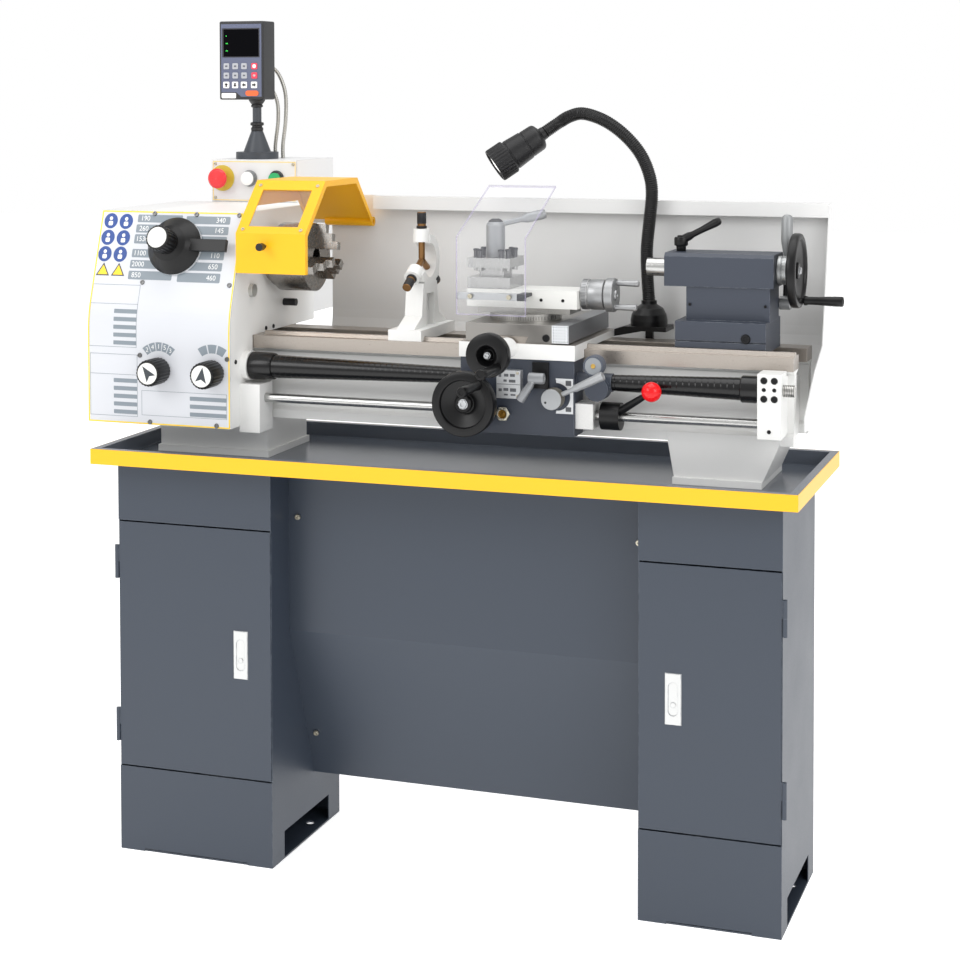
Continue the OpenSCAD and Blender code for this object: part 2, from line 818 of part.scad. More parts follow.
// Fixed halves of the lift-off hinges with their pins
module door_hinges() {
  color(slate)
    for (side = [-1, 1]) {
      edge = side < 0 ? left_x0 : right_x1;
      for (z = hinge_zs) {
        bar_z(edge + side * knuckle_r, cab_y0 + sheet / 2, z - knuckle_h, z, knuckle_r);
        bar_z(edge + side * knuckle_r, cab_y0 + sheet / 2, z - knuckle_h, z + hinge_pin_h - sheet, hinge_pin_r);
        box(min(edge, edge + side * leaf_t), max(edge, edge + side * leaf_t),
          cab_y0 + sheet / 2, cab_y0 + hinge_leaf, z - knuckle_h, z);
      }
    }
}
module stand_panel() {
  color(slate)
    prism_x(left_x1, right_x0, [
      [panel_upper_y, cab_h], [panel_upper_y, panel_fold_z], [panel_foot_y, panel_foot_z],
      [panel_foot_y + sheet, panel_foot_z], [panel_upper_y + sheet, panel_fold_z], [panel_upper_y + sheet, cab_h]
    ]);
}
// Shallow tray with a folded, hollow rim
module chip_tray() {
  color(yellow)
    difference() {
      box(-tray_l / 2, tray_l / 2, -tray_d / 2, tray_d / 2, cab_h, rim_z);
      box(-tray_l / 2 + rim_w, tray_l / 2 - rim_w, -tray_d / 2 + rim_w, tray_d / 2 - rim_w,
        tray_floor_z, rim_z + overrun);
      difference() {
        box(-tray_l / 2 + sheet, tray_l / 2 - sheet, -tray_d / 2 + sheet, tray_d / 2 - sheet,
          cab_h - overrun, rim_z - sheet);
        box(-tray_l / 2 + rim_w - sheet, tray_l / 2 - rim_w + sheet, -tray_d / 2 + rim_w - sheet,
          tray_d / 2 - rim_w + sheet, cab_h - 2 * overrun, rim_z);
      }
    }
}

// Half of the bed's section, drawn for the front and mirrored for the back
module bed_half(x0, x1, vee) {
  web_y = bed_front + bed_web_inset;
  prism_x(x0, x1, [
    [bed_front, way_z], [bed_front, way_z0], [web_y, way_z0 - bed_top_web_h],
    [web_y, bed_sole_z + bed_sole_h + bed_top_web_h], [bed_front + bed_sole_inset, bed_sole_z + bed_sole_h],
    [bed_front + bed_sole_inset, bed_sole_z], [bed_front + bed_sole_inset + bed_sole_w, bed_sole_z],
    [bed_front + bed_sole_inset + bed_sole_w, bed_sole_z + bed_sole_h],
    [web_y + bed_web_t, bed_sole_z + bed_sole_h + bed_top_web_h],
    [web_y + bed_web_t, way_z0 - bed_top_web_h], [bed_front + rail_w, way_z0], [bed_front + rail_w, way_z]
  ]);
  if (vee) {
    prism_x(head_x1 + vee_w, x1, vee_points(0));
  }
}
// Outline of the raised vee on the front way, grown by a clearance
function vee_points(gap) = [
  [bed_front + vee_inset - vee_w / 2 - gap, way_z - overrun], [bed_front + vee_inset - vee_w / 2 - gap, way_z],
  [bed_front + vee_inset - vee_w / 4 - gap, way_z + vee_h + gap],
  [bed_front + vee_inset + vee_w / 4 + gap, way_z + vee_h + gap],
  [bed_front + vee_inset + vee_w / 2 + gap, way_z], [bed_front + vee_inset + vee_w / 2 + gap, way_z - overrun]
];
module vee_groove(x0, x1) {
  prism_x(x0 - overrun, x1 + overrun, vee_points(slide_gap));
}
// Cast foot that widens to the bed, with a flange on the tray
module bed_foot(x, splay0, splay1) {
  y0 = bed_front + foot_inset;
  y1 = bed_back - foot_inset;
  prism_y(y0, y1, [[x[0], tray_floor_z], [x[1], tray_floor_z], [x[1] + splay1, bed_sole_z + bed_sole_h],
    [x[0] - splay0, bed_sole_z + bed_sole_h]]);
  box(x[0] - foot_flange_lip, x[1] + foot_flange_lip, y0 - foot_flange_lip, y1 + foot_flange_lip,
    tray_floor_z, tray_floor_z + foot_flange_h);
}
module bed() {
  rib_n = floor((bed_x1 - bed_x0 - 2 * rib_margin) / rib_pitch);
  color(white) {
    bed_half(bed_x0, bed_x1, true);
    translate([0, 2 * axis_y, 0]) mirror([0, 1, 0]) bed_half(bed_x0, bed_x1, false);
    for (i = [0 : rib_n]) {
      x = bed_x0 + rib_margin + i * (bed_x1 - bed_x0 - 2 * rib_margin - rib_t) / rib_n;
      box(x, x + rib_t, bed_front + bed_web_inset + bed_web_t / 2, bed_back - bed_web_inset - bed_web_t / 2,
        bed_sole_z, way_z0 - way_h);
    }
    bed_foot(left_foot, 0, 0);
    bed_foot(right_foot, foot_splay[0], foot_splay[1]);
  }
}
// Curved splash sheet behind the bed, with a folded top and an end wing
module backsplash() {
  arc_y = splash_y - splash_r;
  arc_z = splash_sole_z + splash_r;
  low = acos((bed_back - bed_web_inset - arc_y) / (splash_r - sheet));
  steps = 10;
  outer = [for (i = [0 : steps]) let (a = -low * i / steps) [arc_y + splash_r * cos(a), arc_z + splash_r * sin(a)]];
  inner = [for (i = [steps : -1 : 0]) let (a = -low * i / steps, r = splash_r - sheet)
    [arc_y + r * cos(a), arc_z + r * sin(a)]];
  wing = [for (i = [0 : steps]) let (a = -90 * i / steps) [arc_y + splash_r * cos(a), arc_z + splash_r * sin(a)]];
  lip_x0 = guard_x[1] + lip_clear;
  color(white) {
    prism_x(splash_x0, splash_x1, concat([[splash_y - sheet, splash_top_z], [splash_y, splash_top_z]], outer, inner));
    prism_x(lip_x0, splash_x1, [
      [splash_y - splash_lip, splash_top_z], [splash_y, splash_top_z], [splash_y, splash_top_z - sheet],
      [splash_y - splash_lip + sheet, splash_top_z - sheet], [splash_y - splash_lip + sheet, splash_top_z - splash_lip],
      [splash_y - splash_lip, splash_top_z - splash_lip]]);
    prism_x(splash_x1 - sheet, splash_x1, concat(
      [[splash_y - splash_lip, splash_top_z], [splash_y, splash_top_z]], wing,
      [[splash_front_y, splash_sole_z], [splash_front_y, splash_sole_z + splash_wing],
        [axis_y, splash_sole_z + splash_wing_low], [splash_y - splash_wing_low, way_z],
        [splash_y - splash_lip, splash_top_z - splash_lip]]));
  }
}

// Feed shafts
module leadscrew() {
  color(steel) bar_x(head_x1 - stub_l, bed_x1 + screw_end, screw_y, screw_z, screw_r);
}
module control_rod() {
  color(steel) bar_x(head_x1 - face_gap + rod_block_l / 4, bracket_x0 + bracket_l / 2, screw_y, rod_z, rod_r);
}
module end_bracket() {
  color(white)
    difference() {
      union() {
        box(bracket_x0, bracket_x0 + bracket_l, bracket_y[0], bracket_y[1], bracket_z[0], bracket_z[1]);
        box(bracket_x0, bracket_x0 + bracket_l, bracket_y[1], bed_front + bed_web_inset,
          bed_sole_z + bed_sole_h + bed_top_web_h, way_z0 - bed_top_web_h - overrun);
      }
      bar_x(bracket_x0 - overrun, bracket_x0 + bracket_l + overrun, screw_y, screw_z, screw_r + run_fit);
      bar_x(bracket_x0 - overrun, bracket_x0 + bracket_l / 2 + overrun, screw_y, rod_z, rod_r + run_fit);
    }
}
// Spring-coil covers that close up and open out as the carriage moves
module left_screw_cover() {
  x0 = head_x1 + shaft_boss_l;
  color(black)
    difference() {
      union() {
        bar_x(x0, x0 + collar_l, screw_y, screw_z, collar_r);
        facing_right(x0 + collar_l, screw_y, screw_z)
          cylinder(r1 = cover_big_r, r2 = cover_small_r, h = saddle_x[0] + apron_inset - x0 - collar_l);
      }
      bar_x(x0 - overrun, saddle_x[0] + apron_inset + overrun, screw_y, screw_z, cover_bore_r);
    }
}
module right_screw_cover() {
  x0 = saddle_x[1] - apron_inset + screw_boss[0];
  x1 = bracket_x0;
  color(black)
    difference() {
      union() {
        bar_x(x1 - right_collar_l, x1, screw_y, screw_z, collar_r - sheet);
        facing_right(x0, screw_y, screw_z)
          cylinder(r1 = cover_small_r, r2 = cover_big_r - sheet, h = x1 - right_collar_l - x0);
      }
      bar_x(x0 - overrun, x1 + overrun, screw_y, screw_z, cover_bore_r);
    }
}

// Headstock with the feed gearbox cast in front of the bed
module headstock() {
  outline = concat(front_outline(panel_t), [[head_back_y, head_top_z], [head_back_y, way_z],
    [gearbox_back_y, way_z], [gearbox_back_y, panel_z0]]);
  color(white)
    difference() {
      union() {
        prism_x(head_x0, head_x1, outline);
        bar_x(head_x1 - overrun, head_x1 + nose_ring_l, axis_y, axis_z, nose_ring_r);
        bar_x(head_x1 - overrun, head_x1 + shaft_boss_l, screw_y, screw_z, collar_r + sheet);
        box(head_x1 - overrun, head_x1 + rod_block_l, screw_y - rod_block[0] / 2, gearbox_back_y,
          rod_z - rod_block[1] + rod_block[0] / 2, rod_z + rod_block[0] / 2);
        bar_x(head_x1 - head_wall, guard_x[1] - guard_edge, guard_hinge[0], guard_hinge[1], guard_rod_r);
        bar_x(head_x1 - overrun, head_x1 + sight_plug_t, sight_plug[0], sight_plug[1], sight_plug_r);
        bar_x(head_x1 - overrun, head_x1 + drain_plug_l, drain_plug[0], drain_plug[1], drain_plug_r);
      }
      box(head_x0 + head_wall, head_x1 - head_wall, cavity_front_y, head_back_y - head_wall,
        way_z + head_wall, head_top_z - head_wall);
      bar_x(head_x0 - overrun, head_x1 + nose_ring_l + overrun, axis_y, axis_z, spindle_r + run_fit);
      bar_x(head_x1 - stub_l - overrun, head_x1 + shaft_boss_l + overrun, screw_y, screw_z, screw_r + run_fit);
      bar_x(head_x1 + rod_block_l / 4 - overrun, head_x1 + rod_block_l + overrun, screw_y, rod_z, rod_r + run_fit);
      for (x = feed_knob_xs) {
        bar_y(x, panel_y, panel_y + panel_t + stub_l, feed_knob_z, feed_shaft_r + overrun);
      }
      selector_axis() cylinder(r = selector_stub_r + overrun, h = 4 * stub_l, center = true);
    }
}
// Axis of the speed selector, square to the leaning part of the panel
module selector_axis() {
  translate([selector_x, slope_y(selector_z), selector_z]) rotate([90 - lean, 0, 0]) children();
}
module front_panel() {
  color(white)
    difference() {
      prism_x(cover_x0, head_x1, concat(front_outline(0), [for (i = [len(front_outline(0)) - 1 : -1 : 0])
        front_outline(panel_t)[i]]));
      for (x = feed_knob_xs) {
        bar_y(x, panel_y - overrun, panel_y + panel_t + overrun, feed_knob_z, feed_shaft_r + run_fit);
      }
      selector_axis() cylinder(r = selector_stub_r + run_fit, h = 2 * stub_l, center = true);
    }
}
// Sheet cover over the change gears and belt, open towards the headstock
module end_cover() {
  color(white)
    difference() {
      prism_x(cover_x0, head_x0, concat(front_outline(panel_t), [[head_back_y, head_top_z], [head_back_y, panel_z0]]));
      intersection() {
        prism_x(cover_x0 + sheet, head_x0 + overrun, concat(front_outline(panel_t + sheet),
          [[head_back_y - sheet, head_top_z], [head_back_y - sheet, panel_z0]]));
        box(cover_x0, head_x0 + overrun, panel_y, head_back_y, panel_z0 + sheet, head_top_z - sheet);
      }
      bar_x(cover_x0 - overrun, cover_x0 + sheet + overrun, axis_y, axis_z, bar_hole_r);
    }
}
module drive_motor() {
  color(dark_slate) {
    bar_x(motor_x[0], motor_x[1], motor_y, motor_z, motor_r);
    box(motor_x[0] + head_wall, motor_x[1] - head_wall, motor_y - motor_foot_w, motor_y, motor_z, way_z);
    bar_x(motor_x[0] - spindle_tail, motor_x[0], motor_y, motor_z, spindle_bore_r);
  }
}

// Spindle with its belt pulley, chuck and jaws
module spindle() {
  color(steel)
    difference() {
      union() {
        bar_x(head_x0 - spindle_tail, chuck_back_x + backplate_l, axis_y, axis_z, spindle_r);
        bar_x(head_x0 - spindle_tail, head_x0 - spindle_tail + pulley_l, axis_y, axis_z, pulley_r);
      }
      bar_x(head_x0 - spindle_tail - overrun, chuck_back_x + backplate_l + overrun, axis_y, axis_z, spindle_bore_r);
    }
}
module jaw_place(i) {
  translate([chuck_face_x - jaw_slot_depth, axis_y, axis_z]) rotate([jaw_angles[i] - 90, 0, 0]) children();
}
module chuck_body() {
  color(steel)
    difference() {
      union() {
        bar_x(chuck_back_x, chuck_back_x + backplate_l, axis_y, axis_z, backplate_r);
        bar_x(chuck_back_x + backplate_l, chuck_face_x, axis_y, axis_z, chuck_r);
      }
      bar_x(chuck_back_x - overrun, chuck_back_x + backplate_l, axis_y, axis_z, spindle_r + run_fit);
      bar_x(chuck_back_x, chuck_face_x + overrun, axis_y, axis_z, chuck_bore_r);
      for (i = [0 : 2]) {
        jaw_place(i) box(0, jaw_slot_depth + overrun, -jaw_w / 2 - slide_gap, jaw_w / 2 + slide_gap, 0, chuck_r + overrun);
      }
    }
}
// Stepped jaw, drawn with its radial direction along local Z
module jaw(i) {
  color(steel)
    jaw_place(i)
      translate([0, 0, jaw_grip_r])
        prism_y(-jaw_w / 2, jaw_w / 2,
          [for (s = jaw_step_shares) [s[0] * (jaw_reach + jaw_slot_depth), s[1] * (chuck_r - jaw_grip_r)]]);
}
module chuck_jaw_1() {
  jaw(0);
}
module chuck_jaw_2() {
  jaw(1);
}
module chuck_jaw_3() {
  jaw(2);
}

// Selectors
module speed_selector() {
  color(black)
    difference() {
      selector_axis() {
        translate([0, 0, face_gap]) turned(selector_shares, selector_r, selector_h);
        translate([0, 0, -panel_t - stub_l]) cylinder(r = selector_stub_r, h = panel_t + stub_l + overrun);
        translate([0, -selector_lever[2] / 2, selector_h * selector_shares[3][1]])
          cube([selector_lever[0], selector_lever[2], selector_lever[1]]);
      }
      selector_axis() cylinder(r = range_shaft_r + run_fit, h = 4 * selector_h, center = true);
    }
}
module range_knob() {
  color(black)
    selector_axis() {
      translate([0, 0, selector_h + 2 * face_gap]) turned(knob_shares, range_knob_r, range_knob_h);
      translate([0, 0, -stub_l]) cylinder(r = range_shaft_r, h = stub_l + selector_h + range_knob_h / 2);
    }
}
module feed_knob(x) {
  color(black) {
    facing_front(x, panel_y - face_gap, feed_knob_z) turned(knob_shares, feed_knob_r, feed_knob_h);
    bar_y(x, panel_y - feed_knob_h / 2, panel_y + panel_t + stub_l - overrun, feed_knob_z, feed_shaft_r);
  }
}
module feed_knob_left() {
  feed_knob(feed_knob_xs[0]);
}
module feed_knob_right() {
  feed_knob(feed_knob_xs[1]);
}

// Folded yellow guard over the chuck, hung on a rod in the headstock
module guard_band(x0, x1, d) {
  inner = guard_line(d);
  prism_x(x0, x1, concat(guard_line(0), [for (i = [len(inner) - 1 : -1 : 0]) inner[i]]));
}
// Frame on the guard's front slope, with local X along the bed and local Y up the slope
module guard_slope() {
  translate([0, guard_front, guard_bend_z]) rotate([guard_tilt, 0, 0]) children();
}
guard_slope_l = norm([guard_roof_y[0] - guard_front, guard_roof_z - guard_bend_z]);
module guard_opening(grow, depth, drop) {
  guard_slope()
    box(guard_x[0] + guard_window_inset - grow, guard_x[1] - guard_window_inset + grow,
      guard_slope_l * guard_window_shares[0] - grow, guard_slope_l * guard_window_shares[1] + grow,
      -drop - depth, -drop);
}
module chuck_guard() {
  color(yellow)
    difference() {
      union() {
        guard_band(guard_x[0], guard_x[1], guard_t);
        guard_band(guard_x[0], guard_x[0] + guard_t, guard_edge);
        guard_band(guard_x[1] - guard_t, guard_x[1], guard_edge);
        bar_x(guard_tube_x0, guard_x[1], guard_hinge[0], guard_hinge[1], guard_tube_r);
        facing_front(guard_knob_x, guard_front, guard_knob_z) {
          cylinder(r = guard_knob_r / 2, h = guard_knob_l);
          translate([0, 0, guard_knob_l / 2]) cylinder(r = guard_knob_r, h = guard_knob_l / 2);
        }
      }
      guard_opening(0, guard_edge, -guard_t);
      bar_x(guard_x[0] - overrun, guard_x[1] + overrun, guard_hinge[0], guard_hinge[1], guard_rod_r + run_fit);
    }
}
module guard_window() {
  color(clear) guard_opening(guard_pane_lap, guard_pane_t, guard_t + run_fit);
}

// Electrical box with its front plate and signal lamp
module control_box() {
  color(white)
    difference() {
      union() {
        box(box_x[0], box_x[1], head_back_y, head_back_y + box_d, box_z0, box_top_z);
        box(box_x[0] + plate_t, plate_x1, head_back_y - plate_t, head_back_y, head_top_z + plate_t, box_top_z - plate_t);
        bar_y(lamp_x, head_back_y - bezel_h - button_h, head_back_y, button_z, button_r);
        bar_y(start_x, head_back_y - bezel_h, head_back_y, button_z, button_r);
        bar_y(emergency_x, head_back_y - plate_t - emergency_ring_t, head_back_y, button_z, emergency_ring_r);
      }
      box(box_x[0] + sheet, box_x[1] - sheet, head_back_y + sheet, head_back_y + box_d - sheet,
        box_z0 + sheet, box_top_z - sheet);
      for (x = [start_x, emergency_x]) {
        bar_y(x, head_back_y - bezel_h - overrun, head_back_y + stub_l, button_z, button_stem_r + run_fit);
      }
    }
}
module emergency_button() {
  color(red) {
    facing_front(emergency_x, head_back_y - plate_t - emergency_ring_t - button_gap, button_z)
      turned(emergency_shares, emergency_r, emergency_h);
    bar_y(emergency_x, head_back_y - emergency_h / 2, head_back_y + stub_l / 2, button_z, button_stem_r);
  }
}
module start_button() {
  color(green) {
    bar_y(start_x, head_back_y - bezel_h - button_h, head_back_y - bezel_h - button_gap / 2, button_z, button_r - sheet);
    bar_y(start_x, head_back_y - bezel_h - button_gap, head_back_y + stub_l / 2, button_z, button_stem_r);
  }
}

// Readout on its pedestal
module readout_stand() {
  color(black)
    translate([readout_x, readout_y, box_top_z]) {
      cylinder(r = foot_r, h = foot_h);
      translate([0, 0, foot_h]) cylinder(r1 = cone_rs[0], r2 = cone_rs[1], h = cone_h);
      cylinder(r = arm_r, h = display_z0 - box_top_z + display_socket - overrun);
    }
}
module readout_display() {
  color(dark_slate)
    difference() {
      box(display_x[0], display_x[1], display_y[0], display_y[1], display_z0, display_z0 + display_h);
      bar_z(readout_x, readout_y, display_z0 - overrun, display_z0 + display_socket, arm_r + run_fit);
    }
}
module readout_cables() {
  color(silver)
    for (route = cable_routes) {
      swept_tube([for (p = route) p + [readout_x, readout_y, box_top_z]], cable_r, cable_sides, cable_rings,
        cable_side);
    }
}

// Dovetail outline across a slide, wider at the top, grown by a clearance
function dovetail(c, w, z, h, flare, gap) = [
  [c - w / 2 - gap, z - overrun], [c - w / 2 - gap, z], [c - w / 2 - flare - gap, z + h + gap],
  [c + w / 2 + flare + gap, z + h + gap], [c + w / 2 + gap, z], [c + w / 2 + gap, z - overrun]
];

// Saddle on the ways with the cross-feed boss
module saddle() {
  color(white)
    difference() {
      union() {
        box(saddle_x[0], saddle_x[1], saddle_front, saddle_back, way_z, saddle_z1);
        box(saddle_x[0], saddle_x[1], saddle_front, bed_front - 2 * overrun, apron_z1, saddle_z1);
        prism_y(cross_front + overrun, saddle_back, dovetail(cross_x, dove_w, saddle_z1, dove_h, dove_flare, 0));
        bar_y(cross_x, cross_boss_front, saddle_front, cross_screw_z, cross_boss_r);
      }
      vee_groove(saddle_x[0], saddle_x[1]);
      bar_y(cross_x, cross_boss_front - overrun, saddle_front, cross_screw_z, cross_shaft_r + run_fit);
    }
}
// Apron with its feed plate, sight glass, thread dial and lever bracket
module apron() {
  x0 = saddle_x[0] + apron_inset;
  x1 = saddle_x[1] - apron_inset;
  color(dark_slate)
    difference() {
      union() {
        box(x0, x1, apron_front, apron_back, apron_z0, apron_z1);
        box(feed_plate_x[0], feed_plate_x[1], apron_front - feed_plate_t, apron_front, feed_plate_z[0], feed_plate_z[1]);
        bar_y(glass_pos[0], apron_front - glass_t, apron_front, glass_pos[1], glass_r);
        bar_x(x1, x1 + screw_boss[0], screw_y, screw_z, screw_boss[1]);
        bar_y(dial_body[0], apron_front, screw_y, dial_body[1], dial_body_r);
        bar_y(dial_pos[0], apron_front - dial_t / 2, apron_front + dial_t, dial_pos[1], dial_r);
        box(dial_pos[0] - dial_r / 2, dial_pos[0] + dial_r / 2, apron_front, apron_front + dial_t, dial_body[1], dial_pos[1]);
        box(x1, x1 + lever_bracket_l, apron_front + dial_t / 2, apron_back - dial_t / 2,
          rod_z - lever_bracket_h / 2, rod_z + lever_bracket_h / 2);
      }
      bar_x(x0 - overrun, x1 + screw_boss[0] + overrun, screw_y, screw_z, screw_r + slide_gap);
      bar_x(x0 - overrun, x1 + lever_bracket_l + overrun, screw_y, rod_z, rod_r + slide_gap);
      bar_y(apron_wheel_x, apron_front - overrun, apron_front + stub_l, apron_wheel_z, apron_shaft_r + run_fit);
      bar_y(feed_pivot[0], apron_front - overrun, apron_front + lever_stub_l, feed_pivot[1], lever_shaft_r + run_fit);
      bar_y(halfnut_pivot[0], apron_front - overrun, apron_front + lever_stub_l, halfnut_pivot[1], lever_shaft_r + run_fit);
    }
}
module carriage_handwheel() {
  color(black)
    facing_front(apron_wheel_x, apron_wheel_y, apron_wheel_z) {
      wheel(apron_wheel_r, apron_wheel_w, apron_shaft_r, apron_front - apron_wheel_y + stub_l - overrun);
      rotate([0, 0, grip_turns[0]])
        translate([apron_wheel_r - apron_wheel_w / 2, 0, apron_wheel_w / 2])
          cylinder(r = wheel_grip[0], h = wheel_grip[1]);
    }
}
// Hand lever on a shaft that enters the apron; arm is its run across the front
module hand_lever(pivot, hub_r, hub_l, arm) {
  y = apron_front - feed_plate_t;
  bar_y(pivot[0], y - hub_l, y, pivot[1], hub_r);
  bar_y(pivot[0], y - hub_l / 2, apron_front + lever_stub_l - overrun, pivot[1], lever_shaft_r);
  lever_arm([pivot[0], y - hub_l / 2, pivot[1]], [arm[0], 0, arm[1]], lever_rod_r, lever_grip_r);
}
module feed_lever() {
  color(silver) hand_lever(feed_pivot, feed_boss[0], feed_boss[1], feed_arm);
}
module halfnut_lever() {
  color(silver) hand_lever(halfnut_pivot, halfnut_hub[0], halfnut_hub[1], halfnut_arm);
}
// Spindle start lever keyed to the control rod beside the apron
module start_lever() {
  x0 = saddle_x[1] - apron_inset + lever_bracket_l + start_gap;
  tip = [x0 + start_hub[1] / 2 + start_tip[0], screw_y + start_tip[1], rod_z + start_tip[2]];
  color(black)
    difference() {
      union() {
        bar_x(x0, x0 + start_hub[1], screw_y, rod_z, start_hub_r);
        strut([x0 + start_hub[1] / 2, screw_y, rod_z], start_tip, lever_grip_r, lever_rod_r);
        translate(tip) sphere(r = start_ball_r);
      }
      bar_x(x0 - overrun, tip[0], screw_y, rod_z, rod_r + run_fit);
    }
}

// Cross slide
module cross_slide() {
  color(steel)
    difference() {
      box(cross_x - cross_w / 2, cross_x + cross_w / 2, cross_front, cross_back, cross_z0, cross_z1);
      prism_y(cross_front - overrun, cross_back + overrun, dovetail(cross_x, dove_w, saddle_z1, dove_h, dove_flare, slide_gap));
    }
}
module cross_handwheel() {
  color(black)
    facing_front(cross_x, cross_boss_front - face_gap, cross_screw_z) {
      wheel(cross_wheel_r, cross_wheel_w, cross_shaft_r, 2 * stub_l);
      rotate([0, 0, grip_turns[1]])
        translate([cross_wheel_r - cross_wheel_w / 2, 0, cross_wheel_w / 2])
          cylinder(r = wheel_grip[0], h = wheel_grip[1]);
    }
}
// Readout scale along the right side of the cross slide
module scale_housing() {
  x0 = cross_x + cross_w / 2;
  color(silver) box(x0, x0 + scale_w, cross_front, scale_back, cross_z0 + scale_gap, cross_z1);
}
module swivel_base() {
  x = swivel_c[0] + swivel_plate_shift;
  color(steel) {
    bar_z(swivel_c[0], swivel_c[1], cross_z1, cross_z1 + swivel_h, swivel_r);
    box(x - swivel_plate[0] / 2, x + swivel_plate[0] / 2, swivel_c[1] - swivel_plate[1] / 2,
      swivel_c[1] + swivel_plate[1] / 2, cross_z1 + swivel_h, slide_z0);
    prism_x(x - swivel_plate[0] / 2, x + swivel_plate[0] / 2, dovetail(swivel_c[1], slide_dove_w, slide_z0, dove_h, dove_flare, 0));
  }
}
// Top slide with the tool post stud and the bracket of the chip shield
module top_slide() {
  y0 = swivel_c[1] - slide_w / 2;
  arm_x = shield_x[1] - strip_arm_w;
  color(steel)
    difference() {
      union() {
        box(slide_x[0], slide_x[1], y0, y0 + slide_w, slide_z0, slide_z1);
        bar_z(post_x, swivel_c[1], slide_z1, post_z1 + post_stud_h, post_stud_r);
        box(shield_x[0], shield_x[1], shield_y + shield_t, shield_y + shield_t + strip_t, strip_z, strip_z + strip_h / 2);
        box(shield_x[0], shield_x[1], shield_y + shield_t, shield_y + shield_t + sheet, strip_z - strip_h / 2, strip_z + strip_h / 2);
        box(arm_x, shield_x[1], shield_y + shield_t, y0, strip_z, strip_z + strip_h / 2);
      }
      prism_x(slide_x[0] - overrun, slide_x[1] + overrun, dovetail(swivel_c[1], slide_dove_w, slide_z0, dove_h, dove_flare, slide_gap));
      bar_x(slide_x[1] - 2 * stub_l, slide_x[1] + overrun, swivel_c[1], crank_z + lever_shaft_r, lever_shaft_r + run_fit);
    }
}
module top_slide_crank() {
  z = crank_z + lever_shaft_r;
  x = slide_x[1] + face_gap;
  color(silver) {
    bar_x(slide_x[1] - 2 * stub_l + overrun, x + crank_dial[1], swivel_c[1], z, lever_shaft_r);
    bar_x(x, x + crank_dial[1], swivel_c[1], z, crank_dial[0]);
    bar_x(x + crank_dial[1], x + crank_dial[1] + crank_disc[1], swivel_c[1], z, crank_disc[0]);
    for (a = [crank_turn, crank_turn + 180]) {
      translate([x + crank_dial[1] + crank_disc[1], swivel_c[1] + crank_grip_reach * cos(a), z + crank_grip_reach * sin(a)])
        rotate([0, 90, 0]) cylinder(r1 = crank_grip[0] - sheet / 2, r2 = crank_grip[0], h = crank_grip[1]);
    }
  }
}
// Four-way tool post with its clamp screws
module tool_post() {
  z0 = slide_z1 + face_gap;
  z_core = z0 + post_foot_h;
  z_top = z_core + post_core_h;
  color(steel)
    translate([post_x, swivel_c[1], 0])
      difference() {
        union() {
          box(-post_w / 2, post_w / 2, -post_w / 2, post_w / 2, z0, z_core);
          box(-post_core_w / 2, post_core_w / 2, -post_core_w / 2, post_core_w / 2, z_core, z_top);
          box(-post_w / 2, post_w / 2, -post_w / 2, post_w / 2, z_top, post_z1);
          for (q = [0 : 3]) {
            rotate([0, 0, 90 * q])
              for (s = [-1, 1]) {
                bar_z(post_w / 2 - post_screw_inset, s * post_screw_step, z_top - post_screw_drop,
                  z_top - post_screw_drop + post_screw_l, post_screw_r);
              }
          }
        }
        bar_z(0, 0, z0 - overrun, post_z1 + overrun, post_stud_r + run_fit);
      }
}
module tool_post_lever() {
  z0 = post_z1 + face_gap;
  from = [post_x, swivel_c[1], z0 + post_arm_z];
  color(silver)
    difference() {
      union() {
        translate([post_x, swivel_c[1], z0]) turned(post_hub_shares, post_hub_r, post_hub_h);
        lever_arm(from, post_arm, lever_rod_r, post_grip_r);
      }
      bar_z(post_x, swivel_c[1], z0 - overrun, post_z1 + post_stud_h + overrun, post_stud_r + run_fit);
    }
}
// Bent clear shield in front of the tool post
module chip_shield() {
  y = shield_y;
  color(clear)
    prism_x(shield_x[0], shield_x[1], [
      [y, shield_z[0]], [y, shield_z[1]], [y + shield_roof[0], shield_z[1] + shield_roof[1]],
      [y + shield_roof[0] + shield_t, shield_z[1] + shield_roof[1] - shield_t],
      [y + shield_t, shield_z[1] - shield_t / 2], [y + shield_t, shield_z[0]]
    ]);
}

// Lamp on a flexible neck, its bracket bolted to the back of the saddle
module lamp_gooseneck() {
  x = lamp_c[0];
  y = lamp_c[1];
  z = lamp_plate_z;
  color(black) {
    box(x - lamp_plate[0] / 2, x + lamp_plate[0] / 2, y - lamp_plate[1] / 2, y + lamp_plate[1] / 2, z, z + lamp_plate[2]);
    translate([x, y, z + lamp_plate[2]]) turned(lamp_bell_shares, lamp_bell_r, lamp_bell_h);
    prism_y(saddle_back, saddle_back + lamp_web_t, [[saddle_x[1] - lamp_plate[1], way_z], [saddle_x[1], way_z],
      [x, z], [x, z + lamp_plate[2]], [x - lamp_plate[0] / 2, z + lamp_plate[2]], [saddle_x[1], z],
      [saddle_x[1] - lamp_plate[1], z]]);
    box(x - lamp_post[0] / 2, x + lamp_post[0] / 2, y, y + lamp_post[1], z - lamp_post[2], z);
    swept_tube(neck_route, neck_r, neck_sides, neck_rings, neck_side);
  }
}
module lamp_head() {
  color(black)
    translate(lamp_back)
      rotate([0, acos(lamp_aim[2] / lamp_l), atan2(lamp_aim[1], lamp_aim[0])])
        translate([0, 0, 2 * face_gap]) turned(lamp_head_shares, lamp_head_r, lamp_l);
}

